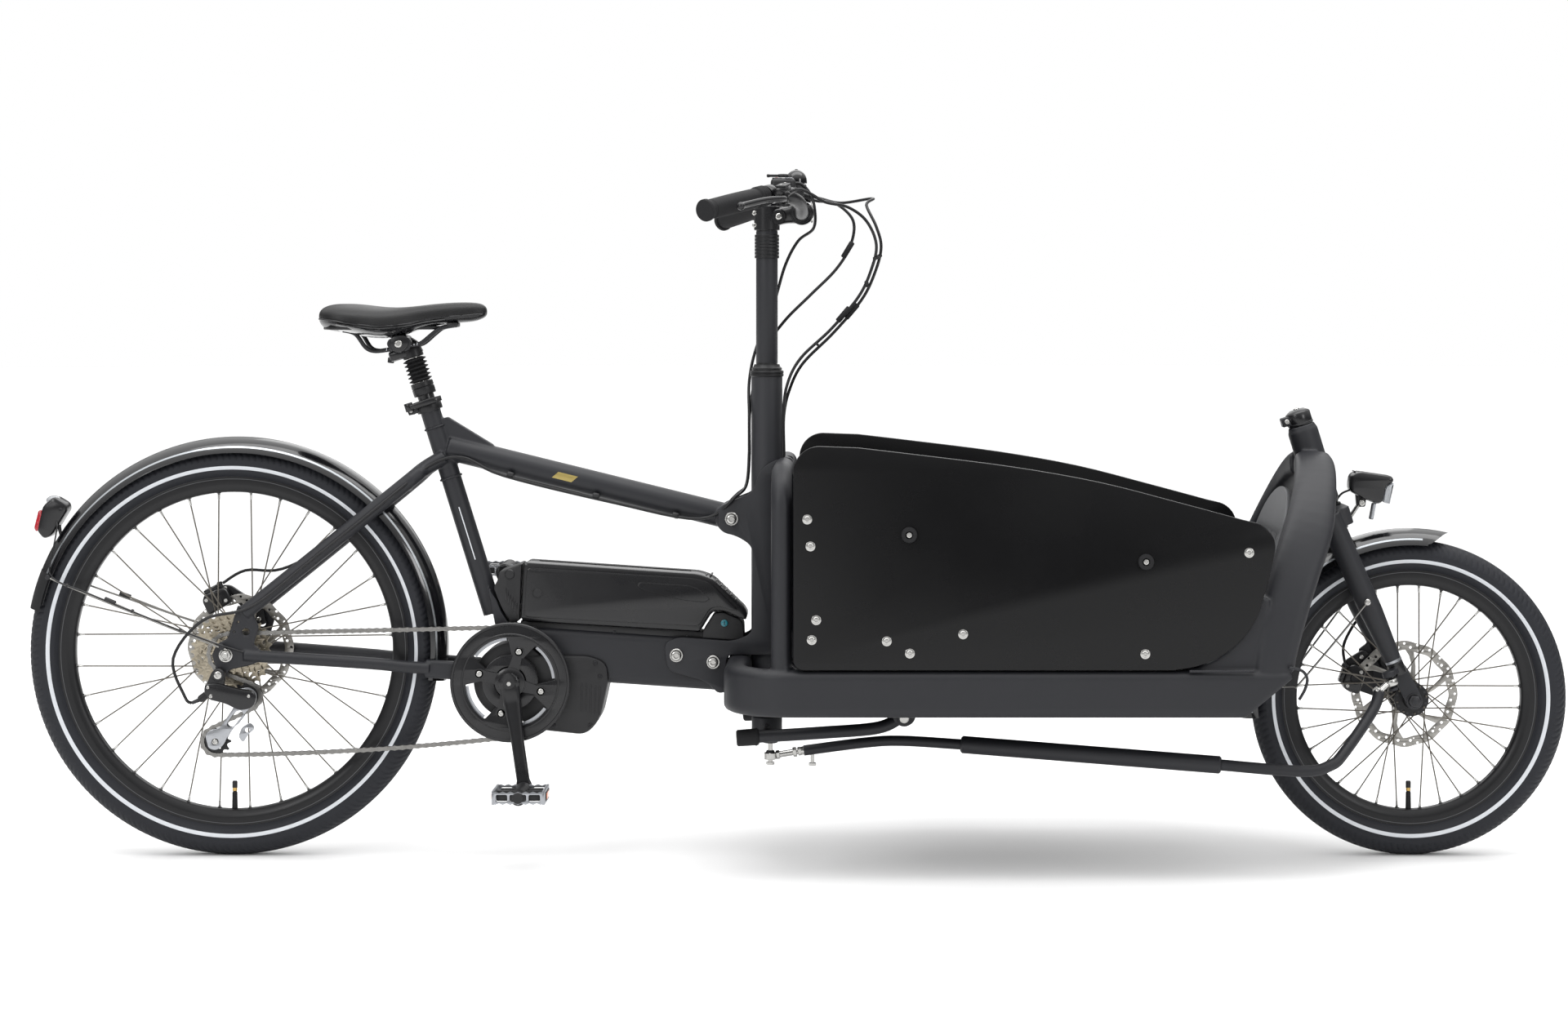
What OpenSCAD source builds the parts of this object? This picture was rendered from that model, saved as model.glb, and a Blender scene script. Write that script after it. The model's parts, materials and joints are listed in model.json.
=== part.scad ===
// Electric cargo bicycle with a load box ahead of the rider and a long steering link.
// +X is forward, +Y is the rider's left, +Z is up; the origin is on the ground midway between
// the rearmost and foremost points of the tyres. All lengths are in millimetres.

/* [Wheels] */
// Distance between the two axles
wheelbase = 1926; // [1920:1:1932]
// Section width and height of both tyres
tyre_w = 55; // [50:1:56]
// Bead seat diameter of the rear rim
rear_bead = 559; // [559]
// Bead seat diameter of the front rim
front_bead = 406; // [406]
// Spokes in each wheel
spoke_count = 32; // [28:4:36]
// Diameter of both brake rotors
rotor_d = 177; // [160:1:180]

/* [Drive] */
// Teeth of the chainring
ring_teeth = 44; // [44]
// Teeth of the sprocket that the chain runs on
cog_teeth = 16; // [16]
// Crank length
crank_l = 170; // [160:1:172]
// Forward lean of the right crank from straight down
crank_lean = 9; // [0:1:20]
// Distance of the chain's middle plane from the bicycle's middle plane
chain_line = 50; // [50]

/* [Frame] */
// Outer diameter of the seat tube
seat_tube_d = 33; // [32:0.5:35]
// Lean of the seat tube from vertical
seat_lean = 17.3; // [17:0.1:17.6]
// Outer diameter of the top tube
top_tube_d = 41; // [38:1:42]
// Height of the lower beam's box section
beam_h = 86; // [80:1:88]
// Outer diameter of the fixed steering mast
mast_d = 51; // [49:1:52]
// Diameter of the turning steering column
column_d = 34.8; // [34:0.2:35]
// Lean of the fork's steering axis from vertical
head_lean = 17; // [17]
// Outer diameter of the head tube
head_tube_d = 50; // [48:1:52]

/* [Load box] */
// Outer width over the two side boards
box_w = 524; // [520:1:528]
// Thickness of the boards
board_t = 12; // [10:0.5:12]
// Height of the perimeter tube
rail_h = 74; // [70:1:76]
// Width of the perimeter tube
rail_w = 40; // [36:1:42]

/* [Rider] */
// Handlebar width over the grips
bar_w = 640; // [620:1:660]
// Handlebar tube diameter
bar_d = 22.2; // [22:0.1:22.4]
// Saddle length
saddle_l = 272; // [265:1:275]
// Saddle width
saddle_w = 172; // [150:1:180]

/* [Hidden] */
$fn = 48;

frame_c = "#2d2e33";
black_c = "#151517";
board_c = "#101011";
steel_c = "#b9bcc0";
spoke_c = "#a8a39a";
rubber_c = "#1b1c20";

rear_r = rear_bead / 2 + tyre_w;
front_r = front_bead / 2 + tyre_w;
rear_x = -(wheelbase + front_r - rear_r) / 2;
front_x = rear_x + wheelbase;
rear_axle = [rear_x, 0, rear_r];
front_axle = [front_x, 0, front_r];

chain_pitch = 12.7;
function pitch_r(teeth) = chain_pitch / (2 * sin(180 / teeth));
crank_c = [-467, 0, 288];
guide_c = [-895, 0, 265];
tension_c = [-945.5, 0, 192];
cogs = [11, 13, 16, 18, 21, 24, 28, 32];
cog_step = 4.8;
guide_teeth = 11;

seat_top_t = 468;
beam_rear = [-424, 0, 334];
beam_front = [-84, 0, 311];
mast_x = -51.5;
mast_top = 792;
column_bottom = 196;
bar_c = [6, 0, 1052];
head_c = [835, 0, 672];
head_top_t = 26;
head_bottom_t = -96;
// Fork legs: half their spacing, their top end in the head frame and their rake from the axis.
leg_y = 62;
leg_top = [-7.5, leg_y, -115];
leg_rake = 7;
leg_straight = 172;
leg_taper = 107;
link_lateral = 84;
stud_r = 3.5;
open_pivot_play = 2.6;
link_forward = 8;
link_down = 400;
rod_z = 173;
rail_z = 256;
rail_y = box_w / 2 - rail_w / 2;
rail_corner = 110;
rail_back = -115;
hoop_x = -22;
hoop_r = 16.5;
hoop_top = 636;
floor_z = 345;
plate_y = 31;
plate_t = 6;
stand_pivot = [172, 0, 240];
grip_in = [-51, -190, 1074];
grip_out = [-136, -bar_w / 2 + 5, 1048];
dropout_y = 67.5;
dropout_t = 7.5;
eyelet_r = 2.5;
axle_r = 5;
running = 0.08;

// ---------------------------------------------------------------- shared shapes

// Puts its children's +Z along the line from p to q, starting at p.
module along(p, q) {
    d = q - p;
    translate(p) rotate([0, acos(d.z / norm(d)), atan2(d.y, d.x)]) children();
}

module rod(p, q, r) {
    along(p, q) cylinder(r = r, h = norm(q - p));
}

// Turns the drawing plane into the bicycle's side view: x stays, y becomes up, z points right.
module side(y = 0) {
    translate([0, y, 0]) rotate([90, 0, 0]) children();
}

// A plate in the side view between two Y planes, y0 below y1.
module slab(y0, y1) {
    side(y1) linear_extrude(y1 - y0) children();
}

// A ring or disc about an axle, between two Y planes.
module disc(c, r, y0, y1) {
    translate([c.x, y1, c.z]) rotate([90, 0, 0]) cylinder(r = r, h = y1 - y0);
}

module rounded_rect(w, h, r) {
    square([w - 2 * r, h], center = true);
    square([w, h - 2 * r], center = true);
    for (x = [-1, 1], y = [-1, 1]) translate([x * (w / 2 - r), y * (h / 2 - r)]) circle(r = r);
}

module rounded_box(size, r) {
    linear_extrude(size.z, center = true) rounded_rect(size.x, size.y, r);
}

module mirror_copy() {
    children();
    mirror([0, 1, 0]) children();
}

// Lean of the seat tube: local +Z runs up the tube from the crank axle.
module seat_frame(t = 0) {
    translate(crank_c) rotate([0, -seat_lean, 0]) translate([0, 0, t]) children();
}

// Lean of the head tube: local +Z runs up the steering axis.
module head_frame() {
    translate(head_c) rotate([0, -head_lean, 0]) children();
}

// Slope of the lower beam: local +X runs along the beam from its rear end.
module beam_frame() {
    translate(beam_rear)
        rotate([0, atan((beam_rear.z - beam_front.z) / (beam_front.x - beam_rear.x)), 0]) children();
}

function head_point(forward, lateral, t) = head_c + [
    forward * cos(head_lean) - t * sin(head_lean), lateral,
    t * cos(head_lean) + forward * sin(head_lean)];

function unit(v) = v / norm(v);

// Points of a smooth curve through p, with n steps to each span.
function spline(p, n) = [
    for (i = [0:len(p) - 2], s = [0:n - 1])
        let (a = p[max(i - 1, 0)], b = p[i], c = p[i + 1], d = p[min(i + 2, len(p) - 1)], t = s / n)
            0.5 * (2 * b + (c - a) * t + (2 * a - 5 * b + 4 * c - d) * t * t
            + (3 * b - a - 3 * c + d) * t * t * t),
    p[len(p) - 1]];

function tangent(p, i) = unit(p[min(i + 1, len(p) - 1)] - p[max(i - 1, 0)]);

// Normals carried along a path without twist.
function carried(p, i, n) = let (t = tangent(p, i), m = unit(n - (n * t) * t))
    i == len(p) - 1 ? [m] : concat([m], carried(p, i + 1, m));

function tube_rings(p, r, sides) = let (
    t0 = tangent(p, 0),
    n0 = abs(t0.z) < 0.9 ? [0, 0, 1] : [1, 0, 0],
    ns = carried(p, 0, n0))
    [for (i = [0:len(p) - 1]) let (t = tangent(p, i), n = ns[i], b = cross(t, n))
        [for (k = [0:sides - 1]) let (a = 360 * k / sides) p[i] + r * (cos(a) * n + sin(a) * b)]];

// A closed skin over rings of points that all turn the same way round the path.
module skin(rings) {
    n = len(rings[0]);
    m = len(rings);
    polyhedron(
        points = [for (r = rings, p = r) p],
        faces = concat(
            [[for (k = [0:n - 1]) k]],
            [for (i = [0:m - 2], k = [0:n - 1]) let (a = i * n + k, b = i * n + (k + 1) % n)
                [a, a + n, b]],
            [for (i = [0:m - 2], k = [0:n - 1]) let (a = i * n + k, b = i * n + (k + 1) % n)
                [b, a + n, b + n]],
            [[for (k = [n - 1:-1:0]) (m - 1) * n + k]]));
}

// A cable or a bent tube along a smooth route.
module pipe(route, r, n = 4, sides = 8) {
    skin(tube_rings(spline(route, n), r, sides));
}

// ---------------------------------------------------------------- rear frame

module seat_tube() color(frame_c) difference() {
    union() {
        seat_frame(112) cylinder(d = seat_tube_d, h = seat_top_t - 112);
        // Clamp collar at the top, with its two ears at the back.
        seat_frame(seat_top_t - 6) {
            cylinder(d = seat_tube_d + 8, h = 14);
            translate([-27, 0, 7]) cube([16, 20, 12], center = true);
        }
    }
    seat_frame(105) cylinder(d = 27.3, h = 400);
    seat_frame(seat_top_t - 10) translate([-45, -1.2, 0]) cube([32, 2.4, 30]);
    seat_frame(seat_top_t + 1) translate([-29, 0, 0])
        rotate([90, 0, 0]) cylinder(r = 3.1, h = 60, center = true);
}

module top_tube() color(frame_c) {
    low = [-108, 0, 552.5];
    high = [-574, 0, 667.3];
    difference() {
        union() {
            rod(high, low, top_tube_d / 2);
            // Lug that fills the gap between the mast plates.
            disc(low, 26, -plate_y + 0.3, plate_y - 0.3);
            // Gusset up to the seat tube.
            slab(-8, 8) polygon([[-592, 712], [-575, 718], [-500, 672], [-500, 655], [-575, 655]]);
        }
        disc(low, 5.2, -60, 60);
        seat_frame(100) cylinder(d = seat_tube_d, h = 380);
    }
}

shell_outline = [[-506, 440], [-492, 420], [-484, 400], [-470, 378], [-440, 376], [-400, 366],
                 [-400, 300], [-420, 300], [-470, 350], [-495, 380]];

module lower_beam() color(frame_c) {
    difference() {
        union() {
            beam_frame() rotate([0, 90, 0]) rotate([0, 0, 90])
                linear_extrude(norm(beam_front - beam_rear)) rounded_rect(60, beam_h, 14);
            // Curved shell that ties the beam to the seat tube above the motor.
            slab(-29, 29) polygon(shell_outline);
        }
        // The load box's rear rail takes this corner.
        translate([rail_back, -60, 200]) cube([60, 120, rail_z + rail_h + 0.5 - 200]);
        // Seat for the motor's round flank.
        disc(crank_c, 64, -60, 60);
        seat_frame(100) cylinder(d = seat_tube_d, h = 380);
        for (p = [[-198, 0, 330], [-138, 0, 319]]) disc(p, 5.2, -60, 60);
    }
}

module rear_stays() color(frame_c) {
    difference() {
        union() {
            mirror_copy() {
                // Seat stay, then chain stay, then the dropout plate.
                pipe([[-580, 12, 652], [-610, 24, 634], [-654, 48, 597], [-896, 71.2, 402]],
                    12.5, sides = 16);
                pipe([[-896, 71.2, 334], [-700, 59, 320], [-640, 49, 313], [-600, 43.5, 310]],
                    10, sides = 16);
                translate([-560, 40.5, 306]) rotate([0, 94, 0]) rounded_box([30, 14, 92], 6);
                slab(dropout_y, dropout_y + dropout_t) dropout_outline();
            }
            // Bridges between the stays.
            rod([-646, -50, 602], [-646, 50, 602], 8);
            translate([-548, 0, 304]) cube([26, 70, 24], center = true);
            // Derailleur hanger below the right dropout.
            slab(-dropout_y - dropout_t, -dropout_y) hull() {
                translate([-926, 322]) circle(r = 13);
                translate([-934.5, 304]) circle(r = 9);
            }
        }
        seat_frame(100) cylinder(d = seat_tube_d, h = 380);
        disc(rear_axle, axle_r, -90, 90);
        disc([-934.5, 0, 304], 4.9, -90, -60);
        for (p = [[-905, 0, 388], [-912, 0, 372]]) disc(p, eyelet_r, -90, 90);
        disc(rear_axle, 88, -60, 60);
        disc(crank_c, 64, -60, 60);
    }
}

module dropout_outline() {
    difference() {
        polygon([[-906, 415], [-884, 408], [-872, 380], [-880, 352], [-872, 345], [-872, 324],
            [-885, 318], [-922, 310], [-942, 316], [-948, 334], [-940, 352], [-922, 362]]);
        translate([-893, 372]) circle(r = 6);
    }
}

// ---------------------------------------------------------------- mast and box frame

module mast_tube() color(frame_c) difference() {
    union() {
        translate([mast_x, 0, 236]) cylinder(d = mast_d, h = mast_top - 236);
        // Upper and lower bearing collars.
        for (z = [mast_top - 8, 228]) translate([mast_x, 0, z]) cylinder(d = mast_d + 4, h = 10);
    }
    translate([mast_x, 0, 200]) cylinder(d = column_d + 2 * running, h = 700);
}

module plate_outline() {
    offset(r = 9) offset(delta = -9) offset(r = -12) offset(delta = 12)
        polygon([[-8, 655], [-8, 628], [-38, 628], [-38, 331], [-117, 331], [-117, 270],
            [-130, 268], [-150, 288], [-212, 305], [-218, 350], [-195, 360], [-106, 353],
            [-74, 366], [-74, 508], [-98, 524], [-128, 532], [-130, 572], [-98, 586],
            [-74, 595], [-62, 632], [-40, 648]]);
}

module mast_plates() color(frame_c) mirror_copy() difference() {
    slab(plate_y, plate_y + plate_t) plate_outline();
    for (p = [[-108, 0, 552.5], [-198, 0, 330], [-138, 0, 319]]) disc(p, 5.2, 0, 60);
    rod([hoop_x, 0, hoop_top], [hoop_x, 100, hoop_top], hoop_r);
}

module rail_section() {
    rounded_rect(rail_w, rail_h, 13);
}

module box_frame() color(frame_c) {
    mid = rail_z + rail_h / 2;
    bend = rail_corner - rail_w / 2;
    difference() {
        union() {
            mirror_copy() {
                // Side rail, with its front end cut to the beam's slope.
                difference() {
                    translate([rail_back + rail_corner, rail_y, mid]) rotate([90, 0, 90])
                        linear_extrude(790) rail_section();
                    slab(150, 300) polygon([[709, 240], [700, 255], [776, 318], [772, 340],
                        [900, 340], [900, 240]]);
                }
                translate([rail_back + rail_corner, rail_y - bend, mid])
                    rotate_extrude(angle = 90, start = 90) translate([bend, 0]) rail_section();
                // Gusset that follows the side board's round corner.
                slab(rail_y - rail_w / 2, box_w / 2 - board_t - 0.5) polygon(concat(
                    [for (a = [-90:10:-10]) [585 + 142 * cos(a), 474 + 146 * sin(a)]],
                    [[742, 440], [730, 380], [728, 325], [600, 325]]));
            }
            translate([rail_back + rail_w / 2, rail_corner - rail_w / 2 - rail_y - 18, mid])
                rotate([-90, 0, 0]) linear_extrude(2 * (rail_y - bend) + 8) rail_section();
            // Cross members under the floor.
            for (x = [60, 640]) translate([x, 0, rail_z + 22])
                cube([40, 2 * rail_y - 20, 30], center = true);
            // Hoop behind the box.
            mirror_copy() {
                translate([hoop_x, 236, 315]) cylinder(r = hoop_r, h = 266);
                translate([hoop_x, 181, 581]) rotate([90, 0, 90])
                    rotate_extrude(angle = 90) translate([55, 0]) circle(r = hoop_r);
            }
            rod([hoop_x, -181, hoop_top], [hoop_x, 181, hoop_top], hoop_r);
        }
        translate([mast_x, 0, 200]) cylinder(d = mast_d, h = 500);
    }
}

function beam_ring(c, t, w, h) = let (
    x = unit([1, 0, 0] - ([1, 0, 0] * t) * t), n = cross(t, x))
    [for (k = [0:19]) let (a = 360 * k / 20, e = 0.55)
        c + w / 2 * sign(cos(a)) * pow(abs(cos(a)), e) * x
        + h / 2 * sign(sin(a)) * pow(abs(sin(a)), e) * n];

// Side beam from the box rail up to the head tube: [centre, depth along X, thickness].
beam_path = [[747, 240, 300], [752, 239, 350], [767, 228, 420], [788, 209, 484],
             [812, 178, 545], [829, 126, 600], [838, 68, 631], [840, 22, 642]];
beam_depth = [62, 64, 74, 77, 78, 70, 66, 60];
beam_thick = [36, 38, 42, 44, 44, 44, 44, 44];

module front_beams() color(frame_c) {
    path = spline(beam_path, 4);
    sizes = spline([for (i = [0:len(beam_path) - 1]) [beam_depth[i], beam_thick[i], 0]], 4);
    difference() {
        union() {
            mirror_copy() skin([for (i = [0:len(path) - 1])
                beam_ring(path[i], tangent(path, i), sizes[i].x, sizes[i].y)]);
            head_frame() translate([0, 0, head_bottom_t])
                cylinder(d = head_tube_d, h = head_top_t - head_bottom_t);
        }
        head_frame() translate([0, 0, head_bottom_t - 5]) cylinder(r = 19, h = 200);
        // The rail's top fills this corner.
        translate([600, -300, rail_z - 20]) cube([300, 600, 20 + rail_h - 1]);
    }
    // Bearing cups.
    head_frame() for (t = [head_top_t, head_bottom_t - 8]) translate([0, 0, t]) difference() {
        cylinder(d = head_tube_d - 5, h = 8);
        translate([0, 0, -1]) cylinder(r = 14.4, h = 20);
    }
}

module kickstand() color(frame_c) {
    difference() {
        union() {
            mirror_copy() {
                pipe([[stand_pivot.x - 4, 112, stand_pivot.z], [130, 126, 224],
                    [40, 140, 218], [-62, 150, 213]], 10, sides = 16);
                color(rubber_c) rod([-60, 149.8, 213], [-96, 153.4, 211], 14);
            }
            rod([stand_pivot.x, -118, stand_pivot.z], [stand_pivot.x, 118, stand_pivot.z], 13);
        }
        rod([stand_pivot.x, -140, stand_pivot.z], [stand_pivot.x, 140, stand_pivot.z], 8 + running);
    }
}

// ---------------------------------------------------------------- motor and battery

module motor() color(black_c) difference() {
    union() {
        slab(-38, 44) offset(r = 12) offset(delta = -12)
            polygon([[-470, 232], [-420, 208], [-345, 200], [-322, 226], [-308, 290],
                [-312, 318], [-340, 334], [-396, 348], [-440, 344], [-470, 340]]);
        disc(crank_c, 62, -34, 38);
        disc(crank_c, 44, -42, 52);
        disc(crank_c, 24, -45, 60);
    }
    disc(crank_c, 8.5 + running, -90, 90);
    // Gap under the beam's section.
    beam_frame() translate([-40, -60, -beam_h / 2 - 1]) cube([200, 120, 200]);
    slab(-60, 60) polygon(shell_outline);
    seat_frame(100) cylinder(d = seat_tube_d + 1, h = 380);
}

battery_base = [-446, 0, 383];

module battery_rail() color(black_c) difference() {
    union() {
        // Contact housing behind the battery.
        slab(-34, 34) polygon([[-498, 452], [-490, 468], [-463, 476], [-449, 482], [-450, 470],
            [-453.5, 384], [-468, 380], [-481, 402], [-490, 422], [-503, 440]]);
        // Rail on the beam.
        slab(-24, 24) polygon([[-453, 370], [-453, 385.1], [-156, 367.3], [-90, 363], [-90, 350]]);
        // Lock housing under the battery's nose.
        slab(-30, 30) polygon([[-156, 360], [-155, 370], [-137, 398], [-122, 400], [-108, 394],
            [-94, 388], [-88, 380], [-88, 360]]);
    }
    beam_frame() translate([-100, -40, -beam_h]) cube([500, 80, 1.5 * beam_h + 0.02]);
    slab(-35, 35) polygon(shell_outline);
    disc([-120, 0, 382], 6 + running, -40, -18);
    seat_frame(100) cylinder(d = seat_tube_d + 1, h = 380);
}

module battery() color(black_c) slab(-42, 42) difference() {
    offset(r = 5) offset(delta = -5) polygon([[-452, 385.4], [-446.5, 483], [-162, 464],
        [-140, 456], [-88, 406], [-82, 396], [-84, 386], [-94, 390], [-108, 396.5], [-122, 402],
        [-139, 400.5], [-158, 370], [-162, 368]]);
}

module lock_barrel() color("#1f7d86") difference() {
    disc([-120, 0, 382], 6, -33, -20);
    translate([-120, -33, 382]) cube([1.6, 6, 7], center = true);
}

// ---------------------------------------------------------------- load box

module board_outline() {
    polygon(concat(
        [for (a = [180:-10:90]) [38 + 41 * cos(a), 640 + 41 * sin(a)]],
        [[190, 668], [340, 649], [475, 625], [600, 593], [700, 566]],
        [for (a = [72:-12:-12]) [709 + 40 * cos(a), 523 + 40 * sin(a)]],
        [[738, 470]],
        [for (a = [-22:-8:-86]) [590 + 145 * cos(a), 477 + 144 * sin(a)]],
        [[590, rail_z + rail_h + 1.5], [14, rail_z + rail_h + 1.5]],
        [for (a = [-110:-20:-170]) [13 + 16 * cos(a), 347.5 + 16 * sin(a)]]));
}

side_screws = [[19, 567], [24, 525], [33, 410], [26, 379], [143, 377], [179, 358],
               [262, 388], [546, 357], [708, 515]];
buffer_posts = [[178, 543], [547, 501]];

module box_sides() color(board_c) mirror_copy() difference() {
    slab(box_w / 2 - board_t, box_w / 2) board_outline();
    for (p = concat(side_screws, buffer_posts)) disc([p.x, 0, p.y], 3.2, 200, 300);
}

module box_boards() color(board_c) {
    inner = box_w - 2 * board_t - 1;
    // Floor.
    translate([12, -inner / 2, floor_z]) cube([628, inner, board_t]);
    translate([640, -216, floor_z]) cube([62, 432, board_t]);
    // Back board.
    translate([1, -inner / 2, rail_z + rail_h + 6]) cube([board_t - 2, inner, 270]);
    // Sloping front board with a round top.
    translate([712, 0, 352]) rotate([0, 20, 0]) rotate([90, 0, 90])
        linear_extrude(8) polygon(concat([[-216, 0], [216, 0], [200, 72], [178, 140]],
            [for (a = [0:20:180]) [145 * cos(a), 190 + 75 * sin(a)]], [[-178, 140], [-200, 72]]));
}

module box_fasteners() color(steel_c) mirror_copy() {
    for (p = side_screws) {
        disc([p.x, 0, p.y], 6, box_w / 2, box_w / 2 + 2.2);
        disc([p.x, 0, p.y], 3.2, box_w / 2 - board_t, box_w / 2);
    }
    for (p = buffer_posts) {
        disc([p.x, 0, p.y], 12, box_w / 2, box_w / 2 + 9);
        disc([p.x, 0, p.y], 3.2, box_w / 2 - board_t, box_w / 2);
    }
}

module frame_bolts() color(steel_c) {
    for (p = [[-108, 0, 552.5], [-198, 0, 330], [-138, 0, 319]]) {
        disc(p, 5.2, -plate_y - plate_t, plate_y + plate_t);
        mirror_copy() {
            disc(p, 11, plate_y + plate_t, plate_y + plate_t + 2);
            disc(p, 8.5, plate_y + plate_t + 2, plate_y + plate_t + 9);
        }
    }
    // Rear axle with its nuts.
    disc(rear_axle, axle_r, -86, 86);
    mirror_copy() disc(rear_axle, 9, dropout_y + dropout_t, dropout_y + dropout_t + 8);
}

// ---------------------------------------------------------------- wheels

module tyre(bead) rotate([90, 0, 0]) rotate_extrude() difference() {
    union() {
        translate([bead / 2 + tyre_w / 2, 0]) circle(r = tyre_w / 2);
        translate([bead / 2 + 0.1, -11]) square([8, 22]);
    }
    translate([bead / 2 + tyre_w / 2, 0]) circle(r = tyre_w / 2 - 4.5);
    // Room for the rim's side walls.
    for (s = [-1, 1]) translate([bead / 2, s * 21.1]) square([12.4, 20], center = true);
}

// Valve that hangs down towards the ground, turned by a few degrees about the axle.
module valve(bead, turn = 0) rotate([0, 180 + turn, 0]) {
    translate([0, 0, bead / 2 - 52]) cylinder(r = 3.2, h = 31.9);
    translate([0, 0, bead / 2 - 56]) cylinder(r = 4.6, h = 15);
}

module rim(bead) {
    b = bead / 2;
    rotate([90, 0, 0]) rotate_extrude() polygon([[b + 6, 14], [b + 6, 11.2], [b - 0.1, 11.2],
        [b - 4, 5], [b - 4, -5], [b - 0.1, -11.2], [b + 6, -11.2], [b + 6, -14],
        [b - 7, -14.5], [b - 17, -10], [b - 19.5, -6], [b - 19.5, 6], [b - 17, 10], [b - 7, 14.5]]);
}

// Spokes laced three-cross between two flanges.
module spokes(bead, flange_r, y_right, y_left) {
    step = 360 / spoke_count;
    cross_turn = 5.5 * step;
    for (i = [0:spoke_count - 1]) {
        right = i % 2 == 0;
        turn = (floor(i / 2) % 2 == 0 ? 1 : -1) * cross_turn;
        a = (i + 0.5) * step;
        y = right ? y_right : y_left;
        p = [flange_r * cos(a + turn), y, flange_r * sin(a + turn)];
        q = [(bead / 2 - 18) * cos(a), sign(y) * 3, (bead / 2 - 18) * sin(a)];
        rod(p, q, 1);
        rod(q + 14 * unit(p - q), q, 2);
    }
}

module hub(y_right, y_left, flange_r, end_right, end_left, barrel) difference() {
    union() {
        disc([0, 0, 0], barrel, y_right, y_left);
        disc([0, 0, 0], flange_r + 4, y_right - 1.6, y_right + 1.6);
        disc([0, 0, 0], flange_r + 4, y_left - 1.6, y_left + 1.6);
        disc([0, 0, 0], barrel - 2, end_right, end_left);
    }
    disc([0, 0, 0], axle_r + running, -90, 90);
}

module rotor(y) difference() {
    union() {
        difference() {
            disc([0, 0, 0], rotor_d / 2, y - 0.9, y + 0.9);
            disc([0, 0, 0], rotor_d / 2 - 16, y - 5, y + 5);
        }
        for (i = [0:5]) rotate([0, i * 60, 0]) {
            rod([24, y, 0], [rotor_d / 2 - 14, y, 26], 0.9);
            translate([22, y - 0.9, 0]) rotate([0, -22, 0]) translate([0, 0, -4]) cube([54, 1.8, 8]);
        }
        disc([0, 0, 0], 29, y - 0.9, y + 0.9);
    }
    disc([0, 0, 0], 17, y - 5, y + 5);
    for (i = [0:23]) rotate([0, i * 15, 0]) {
        disc([rotor_d / 2 - 4.5, 0, 0], 2, y - 5, y + 5);
        rotate([0, 7.5, 0]) disc([rotor_d / 2 - 11, 0, 0], 2, y - 5, y + 5);
    }
}

module rear_rim() color(black_c) translate(rear_axle) rim(rear_bead);
module front_rim() color(black_c) translate(front_axle) rim(front_bead);

module rear_tyre() color(rubber_c) translate(rear_axle) {
    tyre(rear_bead);
    valve(rear_bead);
}

module front_tyre() color(rubber_c) translate(front_axle) {
    tyre(front_bead);
    valve(front_bead, 4);
}

module rear_spokes() color(spoke_c) translate(rear_axle) spokes(rear_bead, 26, -19, 32);
module front_spokes() color(spoke_c) translate(front_axle) spokes(front_bead, 24, -30, 26);

module rear_hub() color(black_c) translate(rear_axle) hub(-19, 32, 26, -64, 52, 16);

module front_hub() {
    color(black_c) translate(front_axle) hub(-30, 26, 24, -46, 44, 15);
    color(steel_c) translate(front_axle) rotor(38);
}

module rear_rotor() color(steel_c) translate(rear_axle) rotor(50);

// ---------------------------------------------------------------- drive

// A toothed wheel in the side view.
module toothed(teeth) {
    r = pitch_r(teeth);
    difference() {
        circle(r = r + 2.6);
        for (i = [0:teeth - 1]) rotate((i + 0.5) * 360 / teeth)
            translate([r + 0.4, 0]) circle(r = 4.1, $fn = 16);
    }
}

module cassette() color("#c9bda6") translate(rear_axle) difference() {
    union() {
        for (i = [0:len(cogs) - 1]) {
            y = -chain_line + (i - 2) * cog_step;
            slab(y - 0.9, y + 0.9) difference() {
                toothed(cogs[i]);
                // Lightening holes in the larger sprockets.
                if (cogs[i] > 20) for (k = [0:5]) rotate(k * 60 + i * 12)
                    translate([(pitch_r(cogs[i]) + 17) / 2, 0])
                        circle(r = (pitch_r(cogs[i]) - 24) / 3, $fn = 24);
            }
        }
        disc([0, 0, 0], 18, -chain_line - 2 * cog_step - 3, -chain_line + 5 * cog_step + 1);
    }
    disc([0, 0, 0], 14 + running, -90, 90);
}

// Tapered arm hanging straight down from the axle and splayed outward by its offset.
module crank_arm(offset_y) {
    rotate([90, 0, 0]) cylinder(r = 17, h = 15, center = true);
    translate([0, offset_y, -crank_l]) rotate([90, 0, 0]) cylinder(r = 13.5, h = 13, center = true);
    // Web between the two eyes, leaning outwards towards the pedal.
    translate([-12, 0, 0]) rotate([90, 0, 90]) linear_extrude(24)
        polygon([[-5.5, 0], [5.5, 0], [offset_y + 5.5, -crank_l], [offset_y - 5.5, -crank_l]]);
}

module crank_arms() color(black_c) translate(crank_c) difference() {
    union() {
        rotate([0, -crank_lean, 0]) {
            translate([0, -68, 0]) crank_arm(-19);
            rod([0, -80, -crank_l], [0, -183, -crank_l], 5);
        }
        rotate([0, 180 - crank_lean, 0]) {
            translate([0, 70, 0]) crank_arm(19);
            rod([0, 82, -crank_l], [0, 185, -crank_l], 5);
        }
        rod([0, -78, 0], [0, 80, 0], 8.5);
        // Four-armed spider.
        for (a = [16, 106, 196, 286]) rotate([0, a, 0]) {
            translate([14, -58, -9]) cube([44, 5, 18]);
        }
        disc([0, 0, 0], 24, -61, -52.4);
    }
    disc([0, 0, 0], 4, -90, -72);
}

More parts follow.
